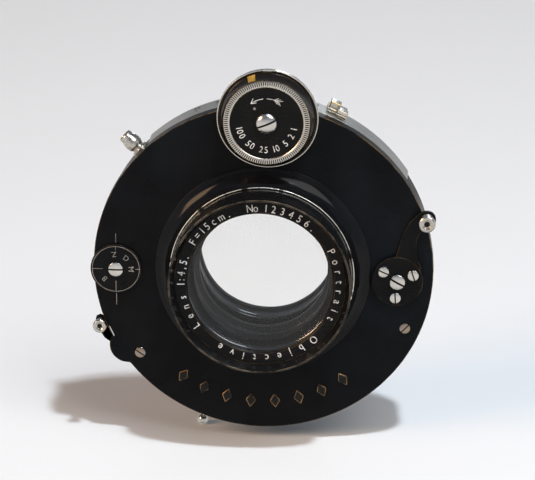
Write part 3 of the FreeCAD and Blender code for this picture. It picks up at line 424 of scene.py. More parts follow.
def paint_fill(name, tone, rough=0.55, grime=(0.25, 0.22, 0.18)):
    m, nt, out = base_material(name)
    b = nt.nodes.new("ShaderNodeBsdfPrincipled")
    co = coords(nt)
    n1 = noise(nt, 900.0, 6, 0.65, co)
    color = mixc(nt, ramp(nt, n1, [(0.45, 0.0), (0.72, 1.0)]), tone, grime)
    nt.links.new(color, b.inputs["Base Color"])
    nt.links.new(mixf(nt, n1, rough * 0.8, min(1.0, rough * 1.3)), b.inputs["Roughness"])
    nt.links.new(bump(nt, n1, 0.2, 0.00001), b.inputs["Normal"])
    nt.links.new(b.outputs[0], out.inputs[0])
    return m


def glass_material(name, tint, veil=0.03, boost=1.0):
    """Clear polished glass: straight see-through with Fresnel reflections and a trace of dust."""
    m, nt, out = base_material(name)
    tr = nt.nodes.new("ShaderNodeBsdfTransparent")
    co = coords(nt)
    dust = ramp(nt, noise(nt, 500.0, 5, 0.6, co), [(0.66, 0.0), (0.80, 1.0)])
    film = noise(nt, 60.0, 5, 0.6, co)
    nt.links.new(mixc(nt, film, tint, tuple(c * 0.985 for c in tint)), tr.inputs["Color"])
    gl = nt.nodes.new("ShaderNodeBsdfGlossy")
    gl.inputs["Color"].default_value = (0.95, 0.97, 1.0, 1)
    nt.links.new(mixf(nt, dust, 0.010, 0.03), gl.inputs["Roughness"])
    nt.links.new(bump(nt, film, 0.004, 0.00001), gl.inputs["Normal"])
    fr = nt.nodes.new("ShaderNodeFresnel")
    fr.inputs["IOR"].default_value = 1.52
    mx = nt.nodes.new("ShaderNodeMixShader")
    nt.links.new(mathn(nt, "MULTIPLY", fr.outputs[0], boost, True), mx.inputs[0])
    nt.links.new(tr.outputs[0], mx.inputs[1])
    nt.links.new(gl.outputs[0], mx.inputs[2])
    df = nt.nodes.new("ShaderNodeBsdfDiffuse")
    df.inputs["Color"].default_value = (0.7, 0.7, 0.68, 1)
    mx2 = nt.nodes.new("ShaderNodeMixShader")
    nt.links.new(mathn(nt, "ADD", mathn(nt, "MULTIPLY", dust, veil), veil * 0.25), mx2.inputs[0])
    nt.links.new(mx.outputs[0], mx2.inputs[1])
    nt.links.new(df.outputs[0], mx2.inputs[2])
    nt.links.new(mx2.outputs[0], out.inputs[0])
    return m


# the enamel's bluish patches are a painted reflection of a bluish light
ENAMEL = painted("black_enamel", (0.0034, 0.0037, 0.0044), 0.30, 0.30, coat=0.0, orange=0.10, spec=0.28, painted_sheen=(0.0064, 0.0082, 0.0102), ior=1.22)
ENAMEL_LEVER = painted("black_enamel_lever", (0.0034, 0.0034, 0.0038), 0.28, 0.08, coat=0.0, orange=0.10, spec=0.40, ior=1.22)
ENAMEL_SIDE = painted("black_enamel_side", (0.0065, 0.0064, 0.0068), 0.36, 0.7, coat=0.0, orange=0.12, spec=0.5, ior=1.26)
LACQUER = painted("black_lacquer", (0.0042, 0.0042, 0.0048), 0.11, 2.6, metal=(0.80, 0.75, 0.68), coat=0.0, orange=0.02, coat_rough=0.05, spec=0.5, ior=1.26)
BARREL = painted("barrel_lacquer", (0.0050, 0.0048, 0.0048), 0.17, 0.14, metal=(0.62, 0.50, 0.36), coat=0.0, orange=0.02, coat_rough=0.05, spec=0.5, ior=1.27)
DRUM = painted("dial_lacquer", (0.0065, 0.0045, 0.0035), 0.14, 0.35, metal=(0.55, 0.36, 0.16), coat=0.3, orange=0.02, coat_rough=0.05,
               brown=(0.05, 0.024, 0.009), spec=0.5, ior=1.30)
DIAL_BLACK = painted("dial_face_black", (0.0050, 0.0048, 0.0047), 0.24, 0.25, coat=0.0, orange=0.05, spec=0.36, ior=1.22)
EMBOSS = painted("raised_mark", (0.0055, 0.0052, 0.0050), 0.25, 0.85, metal=(0.36, 0.22, 0.10), coat=0.0, orange=0.06, spec=0.2)
# dark brown for the knurl grooves: painted shade in the grooves
KNURL_GROOVE_SHADE = painted("knurl_groove_painted_shade", (0.020, 0.014, 0.009), 0.6, 0.0, coat=0.0, orange=0.1)
MATTE = painted("matt_black", (0.014, 0.014, 0.014), 0.62, 0.2, coat=0.0, orange=0.15)
BORE = painted("matt_bore", (0.006, 0.006, 0.0063), 0.7, 0.1, coat=0.0, orange=0.15)
NICKEL = metal("worn_nickel", (0.66, 0.63, 0.58), 0.22, worn=(0.62, 0.44, 0.20), worn_amount=0.35, dirt=0.18, scratch=0.08)
NICKEL_DIAL = metal("dial_nickel", (0.72, 0.68, 0.62), 0.24, worn=(0.80, 0.66, 0.46), worn_amount=0.5, dirt=0.05, scratch=0.04)
NICKEL_EDGE = metal("nickel_brassy", (0.70, 0.66, 0.58), 0.20, worn=(0.80, 0.56, 0.22), worn_amount=1.0, dirt=0.15, scratch=0.08)
RING = metal("turned_ring", (0.43, 0.40, 0.35), 0.30, worn=(0.60, 0.44, 0.22), worn_amount=0.8, scratch=0.10, dirt=0.10)
BAND = metal("brushed_band", (0.62, 0.59, 0.54), 0.42, worn=(0.5, 0.4, 0.22), worn_amount=0.5, scratch=0.35, dirt=0.3, stretch=(1, 14, 1))
STEEL = metal("polished_screw", (0.80, 0.77, 0.72), 0.19, dirt=0.10, scratch=0.05)
BRASS = metal("machined_brass", (0.72, 0.52, 0.24), 0.26, dirt=0.3)
GOLD = metal("gilt_mark", (1.0, 0.60, 0.12), 0.50, dirt=0.05)
BLUED = metal("blued_blades", (0.050, 0.053, 0.062), 0.36, dirt=0.08, scratch=0.03)
BLUED_B = metal("blued_blades_pale", (0.120, 0.122, 0.130), 0.34, dirt=0.08, scratch=0.03)
BLUED_C = metal("blued_blades_dark", (0.022, 0.023, 0.029), 0.40, dirt=0.08, scratch=0.03)
# dark brown fill: painted shade in screw slots and pin bores, and the printed aperture numbers and ticks
RECESS_SHADE_AND_PRINT = painted("recess_shade_and_print_black", (0.010, 0.008, 0.006), 0.75, 0.0, coat=0.0)
WHITE = paint_fill("engraving_white", (0.78, 0.76, 0.72))
GREY_LINE = paint_fill("index_grey", (0.40, 0.38, 0.34), grime=(0.16, 0.12, 0.09))
GREY = paint_fill("engraving_grey", (0.22, 0.21, 0.19), grime=(0.10, 0.08, 0.06))
GLASS = glass_material("optical_glass", (0.998, 0.998, 0.996), 0.006, 0.40)
GLASS_IN = glass_material("optical_glass_inner", (0.998, 0.998, 0.994), 0.002, 0.18)

SHUT = "shutter"
F0 = 12.3


# ------------------------------------------------------------------ casing with its lobe
LX, LY, LR = -33.8, -21.0, 4.6
LA, LD = math.atan2(LY, LX), math.hypot(LX, LY)


def lobed(r, z, th, grow=0.0):
    """Radius of the outline where the casing circle merges with the lobe circle."""
    if r < 40.0:
        return r
    d = (th - LA + math.pi) % (2 * math.pi) - math.pi
    lr = LR + (r - 42.0)
    s = LD * math.sin(d)
    if abs(s) >= lr or abs(d) > 1:
        lobe = 0.0
    else:
        lobe = LD * math.cos(d) + math.sqrt(lr * lr - s * s)
    k = 9.0
    if lobe < r - 1.5:
        return r
    return math.log(math.exp(k * (r - 42.0)) + math.exp(k * (lobe - 42.0))) / k + 42.0 - math.log(2) / k * math.exp(-abs(lobe - r) * 2) * 0.4


case_pts = [(23.2, -5.0), (25.6, -5.0), (26.0, -4.6), (26.0, 0.0), (32.4, 0.0), (32.4, 1.65), (41.5, 1.65, 0.15),
            (41.5, 8.6), (40.9, 8.6), (40.9, 2.45), (27.45, 2.45), (27.45, 3.1), (23.2, 3.1)]


def thread_ripple(r, z, j, segs):
    return r


lathe("casing_shell", case_pts, ENAMEL_SIDE, SHUT, ("case_back",), segs=480, radial=lobed)
# fine thread on the rear tube
thr = []
for i in range(9):
    z = -4.55 + 0.5 * i
    thr += [(25.93, z), (26.0, z + 0.12), (26.0, z + 0.2), (25.93, z + 0.32)]
lathe("rear_thread_crests", [(25.9, -4.6)] + thr + [(25.9, -0.05)], BRASS, SHUT, segs=200, fillet=0.0, raw=True)

cover_pts = [(22.6, 11.3), (41.3, 11.3), (41.55, 11.1), (41.55, 8.62), (42.0, 8.62), (42.0, 11.8, 0.14), (37.6, 12.3, 0.6), (22.6, 12.3)]
lathe("front_cover_shell", cover_pts, ENAMEL, SHUT, ("front_cover",), segs=480, radial=lobed, n=4)

# raised row of plain lozenges on the lower face
for i in range(8):
    a = math.radians(-90 - 35 + 70.0 * i / 7)
    u, t = (math.cos(a), math.sin(a)), (-math.sin(a), math.cos(a))
    c = (34.7 * u[0], 34.7 * u[1])
    pts = []
    for p, q in ((2.0, 0), (0, 1.35), (-2.0, 0), (0, -1.35)):
        pts.append((c[0] + u[0] * p + t[0] * q, c[1] + u[1] * p + t[1] * q))
    fine = []
    for k in range(4):
        p, q = pts[k], pts[(k + 1) % 4]
        for s in range(6):
            f = (s + 0.5) / 6
            fine.append((p[0] + (q[0] - p[0]) * f, p[1] + (q[1] - p[1]) * f))
    slab("raised_lozenge_%d" % i, fine, 12.2, 12.64, EMBOSS, SHUT, bevel=0.2)

boss = [(22.45, 12.31), (26.75, 12.31), (26.6, 12.42)]
for k in range(1, 13):
    u = k / 12.0
    ang = u * math.pi / 2
    boss.append((22.78 + 3.6 * (1 - math.sin(ang)) ** 1.05, 12.45 + 4.05 * (1 - math.cos(ang)) ** 0.80))
boss = [(r, z, 0.0) for r, z in boss]
boss += [(22.77, 16.56, 0.0), (22.755, 16.60, 1.0), (22.72, 16.64, 1.0), (22.62, 16.65, 1.0), (22.58, 16.65, 0.0), (22.46, 16.65, 0.0), (22.45, 16.5, 0.0)]
lathe("boss_cone", boss, LACQUER, SHUT, ("cover_boss",), segs=320, raw=True)


def arc_band(name, ri, ro, z0, z1, a0, a1, mat, body, replaces=(), segs=160, bevel=0.1, at=(0, 0)):
    prof = fillet_profile([(ri, z0), (ro, z0), (ro, z1), (ri, z1)], bevel, 3)
    m = len(prof)
    verts, wear, faces = [], [], []
    for j in range(segs + 1):
        th = math.radians(a0 + (a1 - a0) * j / segs)
        for r, z, w in prof:
            verts.append((at[0] + r * math.cos(th), at[1] + r * math.sin(th), z))
            wear.append(w)
    for j in range(segs):
        for i in range(m):
            q = (i + 1) % m
            faces.append((j * m + i, (j + 1) * m + i, (j + 1) * m + q, j * m + q))
    faces.append(tuple(range(m)))
    faces.append(tuple(segs * m + i for i in range(m))[::-1])
    ob = mesh_piece(name, verts, faces, mat, body, replaces, wear)
    clean(ob)
    return ob


arc_band("scale_band", 41.52, 42.0, 1.62, 8.55, 33.0, 132.5, BAND, SHUT, ("aperture_scale_band",), bevel=0.08)


# ------------------------------------------------------------------ engraving
_glyphs = {}


def glyph(ch):
    if ch not in _glyphs:
        cu = bpy.data.curves.new("glyph", "FONT")
        cu.body = ch
        cu.size = 1.0
        cu.resolution_u = 4
        ob = bpy.data.objects.new("glyph", cu)
        scene.collection.objects.link(ob)
        bpy.context.view_layer.update()
        dg = bpy.context.evaluated_depsgraph_get()
        me = ob.evaluated_get(dg).to_mesh()
        vs = [(v.co.x, v.co.y) for v in me.vertices]
        fs = [tuple(p.vertices) for p in me.polygons]
        ob.evaluated_get(dg).to_mesh_clear()
        bpy.data.objects.remove(ob)
        bpy.data.curves.remove(cu)
        _glyphs[ch] = (vs, fs)
    return _glyphs[ch]


def glyph_width(ch, height):
    vs, _ = glyph(ch)
    return 0.0 if not vs else (max(v[0] for v in vs) - min(v[0] for v in vs)) * height / 0.7


def text_arc(name, text, radius, height, centre_deg, z, mat, body, at=(0, 0), outward=True, gap=0.22, space=0.55, narrow=1.0, lift=0.0):
    """Letters along an arc, clockwise when the tops point outward. z may be a function of the radius."""
    widths = [glyph_width(c, height) * narrow if c != " " else space * height for c in text]
    total = sum(widths) + gap * height * (len(text) - 1)
    verts, faces = [], []
    s = -total / 2
    for c, w in zip(text, widths):
        mid = s + w / 2
        s += w + gap * height
        if c == " ":
            continue
        vs, fs = glyph(c)
        x0 = (max(v[0] for v in vs) + min(v[0] for v in vs)) / 2
        base = len(verts)
        k = height / 0.7
        for vx, vy in vs:
            u = (vx - x0) * k * narrow + mid
            v = vy * k - height / 2
            if outward:
                r = radius + v
                a = math.radians(centre_deg) - u / radius
            else:
                r = radius - v
                a = math.radians(centre_deg) + u / radius
            zz = z(r) if callable(z) else z
            verts.append((at[0] + r * math.cos(a), at[1] + r * math.sin(a), zz + lift))
        faces += [tuple(base + i for i in f) for f in fs]
    return mesh_piece(name, verts, faces, mat, body)


def stroke(name, pts, width, z, mat, body, taper=None):
    """Flat line through points in the face plane."""
    verts, faces = [], []
    n = len(pts)
    for i, p in enumerate(pts):
        a, b = pts[max(0, i - 1)], pts[min(n - 1, i + 1)]
        d = Vector((b[0] - a[0], b[1] - a[1])).normalized()
        w = width / 2 * (taper(i / (n - 1)) if taper else 1)
        zz = z(p[0], p[1]) if callable(z) else z
        verts += [(p[0] - d.y * w, p[1] + d.x * w, zz), (p[0] + d.y * w, p[1] - d.x * w, zz)]
        if i:
            faces.append((2 * i - 2, 2 * i - 1, 2 * i + 1, 2 * i))
    return mesh_piece(name, verts, faces, mat, body)


# ------------------------------------------------------------------ front cell
barrel = [(17.13, 8.4), (20.5, 8.4), (20.5, 14.8), (22.0, 14.8), (22.0, 16.7), (22.36, 16.7), (22.36, 25.4, 0.16),
          (21.92, 25.4, 0.14), (20.95, 22.62, 0.05), (20.95, 22.0), (18.53, 22.0), (18.53, 16.9), (16.6, 16.9), (16.6, 14.6), (17.13, 14.6)]
lathe("front_barrel", barrel, BARREL, SHUT, ("front_cell_barrel",), segs=320, inner=(18.7, 22.1, BORE))
lathe("engraved_ring", [(17.86, 22.03), (20.9, 22.03), (20.9, 22.55), (18.25, 22.55, 0.05), (17.86, 22.2, 0.05)], DIAL_BLACK, SHUT,
      ("name_ring",), segs=320, fillet=0.05)
RZ = 22.562
for k, (word, first, last) in enumerate((("Lens", 233.0, 259.0), ("1:4,5.", 268.0, 290.0), ("F=15cm.", 301.0, 337.0), ("No", 350.5, 358.5),
                                         ("123456.", 4.0, 42.0), ("Portrait", 62.0, 118.0), ("Objective", 135.0, 212.0))):
    span = math.radians(last - first) * 19.45
    need = sum(glyph_width(c, 1.9) * 0.86 for c in word)
    text_arc("ring_text_%d" % k, word, 19.45, 1.9, 90.0 - (first + last) / 2, RZ, WHITE, SHUT, gap=max(0.08, (span - need) / (1.9 * (len(word) - 1))),
             narrow=0.86)


def sag(curve, r):
    return curve - math.sqrt(curve * curve - r * r)


def lens(name, rad, front, rear, mat, replaces, n=24):
    """Closed lens from two surface functions of the radius."""
    pts = [(rad * i / n, front(rad * i / n), 0.0) for i in range(n + 1)]
    pts += [(rad * i / n, rear(rad * i / n), 0.0) for i in range(n, -1, -1)]
    return lathe(name, pts, mat, SHUT, replaces, segs=160, raw=True, closed=False)


lens("front_doublet", 18.5, lambda r: 21.75 + sag(62.0, 18.5) - sag(62.0, r), lambda r: 16.9 + sag(500.0, 18.5) - sag(500.0, r), GLASS,
     ("front_crown_lens", "front_flint_lens"))
lens("middle_element", 17.1, lambda r: 14.6 - sag(90.0, 17.1) + sag(90.0, r), lambda r: 9.9 + sag(90.0, 17.1) - sag(90.0, r), GLASS_IN, ("middle_lens",))
lens("rear_doublet", 17.5, lambda r: 1.0 - sag(150.0, 17.5) + sag(150.0, r), lambda r: -5.0 - sag(60.0, 17.5) + sag(60.0, r), GLASS_IN,
     ("rear_flint_lens", "rear_crown_lens"))
lathe("rear_barrel", [(16.8, 1.0), (16.8, 1.6), (22.7, 1.6), (23.1, 1.2), (23.1, -5.2), (21.5, -5.2), (21.5, -8.6), (21.1, -9.0, 0.1),
                      (17.58, -9.0), (17.53, 1.0)], BARREL, SHUT, ("rear_cell_barrel",), segs=320, inner=(17.7, 1.2, BORE))
lathe("rear_ring", [(16.9, -5.3), (17.5, -5.3), (17.5, -7.2), (17.2, -7.2), (16.9, -6.9)], MATTE, SHUT, ("rear_retaining_ring",), segs=240, fillet=0.05)


# ------------------------------------------------------------------ screws and pins
def screw(name, x, y, r, z0, h, turn, slot_w, mat, body, replaces=(), dome=0.5, depth=0.45, segs=96):
    """Screw head with a real slot: the head is cut by a groove that runs right across."""
    ct, st = math.cos(math.radians(turn)), math.sin(math.radians(turn))
    half = slot_w / 2
    rings = 14
    verts, wear, faces, fm = [], [], [], []

    def height(q):
        return z0 + h - dome * (1 - math.sqrt(max(0.0, 1 - (q / r) ** 2 * 0.96))) if dome else z0 + h

    grid = 40
    # head made of two lobes either side of the slot
    for side in (1, -1):
        base = len(verts)
        rows = []
        ys = [half + (r - half) * (1 - math.cos(math.pi / 2 * i / 16)) ** 0.8 * 0.9995 for i in range(17)]
        for yv in ys:
            xm = math.sqrt(max(0.0, r * r - yv * yv))
            line = []
            for k in range(grid + 1):
                u = -math.cos(math.pi * k / grid)
                xv = xm * u
                q = math.hypot(xv, yv)
                line.append((xv, yv, height(q)))
            rows.append(line)
        top_idx = []
        for line in rows:
            idx = []
            for xv, yv, zv in line:
                yv2 = yv * side
                verts.append((x + xv * ct - yv2 * st, y + xv * st + yv2 * ct, zv))
                wear.append(0.3)
                idx.append(len(verts) - 1)
            top_idx.append(idx)
        for i in range(len(top_idx) - 1):
            for k in range(grid):
                f = (top_idx[i][k], top_idx[i][k + 1], top_idx[i + 1][k + 1], top_idx[i + 1][k])
                faces.append(f if side > 0 else f[::-1])
                fm.append(0)
        # slot wall
        wall = []
        for xv, yv, zv in rows[0]:
            yv2 = yv * side
            verts.append((x + xv * ct - yv2 * st, y + xv * st + yv2 * ct, z0 + h * (1 - depth) - dome * 0.2))
            wear.append(0.0)
            wall.append(len(verts) - 1)
        for k in range(grid):
            f = (wall[k], wall[k + 1], top_idx[0][k + 1], top_idx[0][k])
            faces.append(f if side > 0 else f[::-1])
            fm.append(1)
        # rim wall
        edge = [top_idx[i][0] for i in range(len(top_idx))][::-1] + [top_idx[i][grid] for i in range(1, len(top_idx))]
        edge = [top_idx[i][0] for i in range(len(top_idx))] + [top_idx[i][grid] for i in range(len(top_idx) - 2, -1, -1)]
        low = []
        for e in edge:
            v = verts[e]
            verts.append((v[0], v[1], z0))
            wear.append(0.0)
            low.append(len(verts) - 1)
        for k in range(len(edge) - 1):
            faces.append((edge[k], edge[k + 1], low[k + 1], low[k]))
            fm.append(0)
    # floor of the slot
    b = len(verts)
    zf = z0 + h * (1 - depth) - dome * 0.2
    xm = math.sqrt(r * r - half * half)
    for sx, sy in ((-xm, -half), (xm, -half), (xm, half), (-xm, half)):
        verts.append((x + sx * ct - sy * st, y + sx * st + sy * ct, zf))
        wear.append(0.0)
    faces.append((b, b + 1, b + 2, b + 3))
    fm.append(1)
    # slot walls and floor take the dark material: painted shade in the slot
    ob = mesh_piece(name, verts, faces, mat, body, replaces, wear, [RECESS_SHADE_AND_PRINT], fm)
    import bmesh
    bm = bmesh.new()
    bm.from_mesh(ob.data)
    bmesh.ops.remove_doubles(bm, verts=bm.verts, dist=1e-8)
    bmesh.ops.recalc_face_normals(bm, faces=bm.faces)
    for e in bm.edges:
        if len(e.link_faces) == 2 and e.calc_face_angle(0) > math.radians(35):
            e.smooth = False
    for f in bm.faces:
        f.smooth = True
    bm.to_mesh(ob.data)
    bm.free()
    return ob


def polar(r, a, at=(0, 0)):
    return (at[0] + r * math.cos(math.radians(a)), at[1] + r * math.sin(math.radians(a)))


spots = [polar(38.1, a) for a in (-22.5, -143.6, 97.6)]
SCREW_BRASSY = metal("cover_screw_metal", (0.40, 0.33, 0.28), 0.30, worn=(0.62, 0.42, 0.2), worn_amount=0.8, dirt=0.45)
screw("cover_screw_right", *spots[0], 1.3, 12.28, 0.52, 46.0, 0.32, SCREW_BRASSY, SHUT, ("cover_screws",), dome=0.22)
screw("cover_screw_left", *spots[1], 1.3, 12.28, 0.52, -35.0, 0.32, SCREW_BRASSY, SHUT, dome=0.22)
screw("cover_screw_hidden", *spots[2], 1.3, 12.28, 0.42, 10.0, 0.32, SCREW_BRASSY, SHUT, dome=0.1)

# ------------------------------------------------------------------ setting lever
SX, SY = 33.2, -1.9
lev = "setting_lever"
slab("lever_disc", disc(0, 0, 6.3, 160), 12.45, 13.6, ENAMEL_LEVER, lev, ("setting_lever", "setting_lever_screws", "setting_lever_pin"), bevel=0.16, at=(SX, SY))
px, py = 7.15, 16.15
arm = [(-1.0, 4.0), (-0.45, 6.27), (0.1, 8.3), (1.0, 11.75), (2.4, 14.7), (4.3, 16.9), (px - 1.1, py + 1.95), (px + 0.7, py + 2.0),
       (px + 1.9, py + 0.9), (px + 1.95, py - 0.9), (px + 0.5, py - 2.0), (px - 1.1, py - 2.9), (5.05, 11.7), (4.6, 9.8), (4.8, 6.6), (5.7, 3.0), (3.4, 1.0)]
slab("lever_arm", smooth_outline(arm[::-1]), 12.46, 13.45, ENAMEL_LEVER, lev, bevel=0.14, at=(SX, SY))


def pin(name, x, y, mat, body, prof, replaces=(), bore=None):
    lathe(name, prof, mat, body, replaces, at=(x, y), segs=96, fillet=0.09, closed=False)


pin("lever_pin", SX + px, SY + py, NICKEL, lev,
    [(0.0, 13.45), (1.6, 13.45, 0.05), (1.25, 13.9, 0.2), (1.25, 15.8, 0.3), (2.07, 16.2, 0.3), (2.07, 17.2, 0.22), (1.75, 17.4, 0.1),
     (1.3, 17.4, 0.1), (0.72, 17.1, 0.05), (0.62, 16.42, 0.05), (0.0, 16.42)])
# dark disc at the bottom of the pin's bore: painted shade
lathe("lever_pin_eye", [(0.0, 16.44), (0.6, 16.44, 0.0)], RECESS_SHADE_AND_PRINT, lev, at=(SX + px, SY + py), segs=48, closed=False, fillet=0)
for k, (a, t) in enumerate(((24.0, -72.0), (144.0, -24.0), (264.0, 93.0))):
    q = polar(4.25, a, (SX, SY))
    screw("lever_screw_%d" % k, *q, 1.35, 13.6, 0.58, t, 0.34, STEEL, lev, dome=0.25)
screw("pivot_screw", SX, SY, 1.9, 13.62, 1.0, -29.0, 0.5, STEEL, SHUT, ("setting_pivot_screw",), dome=0.42)

# ------------------------------------------------------------------ release lever
RX, RY = -33.0, -20.3
rel = "release_lever"
pts = [polar(r, a) for r, a in ((42.45, -160.0), (42.45, -157.6), (42.45, -155.8), (41.0, -155.1), (39.6, -154.6))]
pts += [(-33.6, -17.95), (-31.4, -18.6), (-30.55, -20.3), (-31.4, -22.1), (-33.6, -22.75), (-37.2, -21.7)]
pts += [polar(r, a) for r, a in ((43.5, -151.8), (44.3, -153.8), (44.5, -156.5), (44.65, -159.2), (44.2, -160.9), (43.2, -161.1))]
slab("release_arm", [(p[0], p[1]) for p in pts], 8.95, 10.25, ENAMEL_LEVER, rel, ("release_lever", "release_lever_pin"), bevel=0.12)
pin("release_pin", RX - 7.6, RY + 4.9, NICKEL, rel,
    [(0.0, 10.2), (1.15, 10.2, 0.05), (0.95, 10.5, 0.1), (0.95, 12.45, 0.2), (1.73, 12.8, 0.2), (1.73, 13.75, 0.18), (1.5, 14.0, 0.1),
     (1.1, 14.0, 0.08), (0.6, 13.72, 0.05), (0.5, 13.22, 0.05), (0.0, 13.22)])
# dark disc at the bottom of the pin's bore: painted shade
lathe("release_pin_eye", [(0.0, 13.24), (0.5, 13.24, 0.0)], RECESS_SHADE_AND_PRINT, rel, at=(RX - 7.6, RY + 4.9), segs=48, closed=False, fillet=0)

# thin polished-steel strip on the cover rim by the release lever: a painted highlight standing for the lit lever edge
stroke("rim_painted_highlight", [polar(41.55, -157.4 + 6.2 * i / 16) for i in range(17)], 0.26, lambda x, y: 12.318 - 0.5 * (math.hypot(x, y) - 37.6) / 4.4,
       STEEL, SHUT, taper=lambda u: math.sin(math.pi * min(1.0, 0.12 + u * 0.86)) ** 0.6)

# ------------------------------------------------------------------ speed dial
DX, DY = 1.2, 39.2
dial = "speed_dial"


def collar_notch(r, z, th):
    if z > 12.9 and abs(th - math.pi / 2) < 0.098:
        return r
    return r


lathe("dial_collar", [(0.85, 12.31), (12.15, 12.31, 0.0), (12.4, 12.31), (12.4, 13.25, 0.06), (12.32, 13.35, 0.04), (12.14, 13.35, 0.0), (12.0, 13.33, 0.04), (12.0, 12.75),
                      (0.85, 12.75)], NICKEL_DIAL, SHUT, ("speed_dial_collar",), at=(DX, DY), segs=320, fillet=0.06, inner=(12.2, 20.0, DRUM))
box_mesh("collar_notch_mark", -1.15, 1.15, 11.96, 12.42, 12.9, 13.37, STEEL, SHUT, bevel=0.05, at=(DX, DY)).hide_render = False
drum = [(0.81, 12.95), (11.7, 12.95), (11.7, 13.3)]
for k in range(1, 8):
    u = k / 8
    drum.append((11.7 - 1.1 * u - 0.22 * math.sin(math.pi * u), 13.3 + 3.3 * u))
drum += [(10.6, 16.6), (8.95, 16.6), (8.95, 16.3), (0.81, 16.3)]
lathe("dial_drum", drum, DRUM, dial, ("speed_dial_drum",), at=(DX, DY), segs=240, fillet=0.05)
a = math.radians(110.0)
gm = []
for s in range(5):
    u = 0.08 + 0.72 * s / 4
    rr = 11.7 - 1.1 * u - 0.22 * math.sin(math.pi * u) + 0.035
    gm.append((rr, 13.3 + 3.3 * u))
vv, ff = [], []
for i, (rr, zz) in enumerate(gm):
    for k in range(9):
        w = -0.085 + 0.17 * k / 8
        vv.append((DX + rr * math.cos(a + w), DY + rr * math.sin(a + w), zz))
        if i and k:
            ff.append((9 * i + k - 10, 9 * i + k - 9, 9 * i + k, 9 * i + k - 1))
mesh_piece("dial_index_mark", vv, ff, GOLD, dial)

TEETH = 120


def knurl(r, z, j, segs):
    per = segs // TEETH
    ph = (j % per) / per
    dip = 1.0 if 0.2 < ph < 0.6 else 0.0
    if z > 16.62 and r > 9.35:
        k = min(1.0, (r - 9.35) / 0.2)
        return (r - 0.30 * dip * (1.0 if r > 10.1 else 0.0), z - 0.30 * dip * k * (1.0 if z > 16.95 else 0.0))
    return (r, z)


kn = [(8.97, 16.62, 0), (10.5, 16.62, 0), (10.5, 16.72, 0), (10.5, 16.96, 0.7), (10.44, 17.06, 1), (10.3, 17.1, 0.8), (9.9, 17.1, 0.2), (9.56, 17.1, 0), (9.36, 17.1, 0),
      (9.2, 17.1, 0.3), (9.1, 17.08, 0.7), (8.99, 17.0, 0.6), (8.97, 16.92, 0.2)]
# groove faces take the dark knurl material: painted shade in the grooves
lathe("dial_knurl", kn, NICKEL_DIAL, dial, ("speed_dial_knurl",), at=(DX, DY), segs=TEETH * 8, raw=True, ripple=knurl,
      facets=True, grooves=lambda j, r, z: j % 8 in (1, 2, 3, 4) and r > 9.4 and z > 16.7, inner=(0.0, 0.0, KNURL_GROOVE_SHADE))
lathe("dial_face", [(0.81, 16.32), (8.93, 16.32), (8.93, 16.95, 0.05), (0.81, 16.95)], DIAL_BLACK, dial, ("speed_dial_face",), at=(DX, DY), segs=200, fillet=0.04)
screw("dial_screw", DX, DY, 2.55, 16.96, 1.48, 23.0, 0.5, STEEL, dial, ("speed_dial_screw",), dome=1.25, depth=0.35)
FZ = 16.962
arcp = [polar(6.15, 128 - 66 * i / 24, (DX, DY)) for i in range(25)]
stroke("arrow_line_head", arcp[:12], 0.15, FZ, WHITE, dial)
stroke("arrow_line_tail", arcp[14:], 0.15, FZ, WHITE, dial)
p0 = arcp[0]
tang = math.radians(128 + 90)
for k, da in enumerate((-28, 28)):
    e = (p0[0] - 1.35 * math.cos(tang + math.radians(da)), p0[1] - 1.35 * math.sin(tang + math.radians(da)))
    stroke("arrow_head_%d" % k, [p0, ((p0[0] + e[0]) / 2, (p0[1] + e[1]) / 2), e], 0.17, FZ + 0.002, WHITE, dial)
for k in range(3):
    ang = 62 + 5.0 * k
    q = polar(6.15, ang, (DX, DY))
    td = math.radians(ang - 90)
    for s, da in enumerate((-38, 38)):
        e = (q[0] + 1.15 * math.cos(td + math.radians(da)), q[1] + 1.15 * math.sin(td + math.radians(da)))
        stroke("arrow_feather_%d_%d" % (k, s), [q, ((q[0] + e[0]) / 2, (q[1] + e[1]) / 2), e], 0.12, FZ + 0.003, WHITE, dial)
lathe("dial_dot", [(0.0, FZ), (0.34, FZ, 0)], GREY, dial, at=(DX - 2.9, DY + 3.6), segs=32, closed=False, fillet=0)
row_text = "100 50 25 10 5 2 1"
h = 1.62
need = sum(glyph_width(c, h) * 0.85 if c != " " else 0.42 * h for c in row_text)
text_arc("dial_numbers", row_text, 6.75, h, 270.0, FZ, WHITE, dial, at=(DX, DY), outward=False, space=0.42, narrow=0.85,
         gap=(math.radians(158.0) * 6.75 - need) / (h * (len(row_text) - 1)))

# ------------------------------------------------------------------ mode dial
MX, MY = -36.4, -0.4
md = "mode_dial"
lathe("mode_dial_disc", [(0.76, 12.4), (6.3, 12.4), (6.3, 13.1, 0.14), (0.76, 13.1)], ENAMEL_LEVER, md, ("mode_disc",), at=(MX, MY), segs=160, fillet=0.1)
screw("mode_dial_screw", MX, MY, 1.8, 13.11, 0.68, 0.0, 0.42, STEEL, md, ("mode_screw",), dome=0.3)
MZ = 13.112


def ringline(name, r, w, z, mat, body, at, a0=0, a1=360):
    n = 120
    stroke(name, [polar(r, a0 + (a1 - a0) * i / n, at) for i in range(n + 1)], w, z, mat, body)


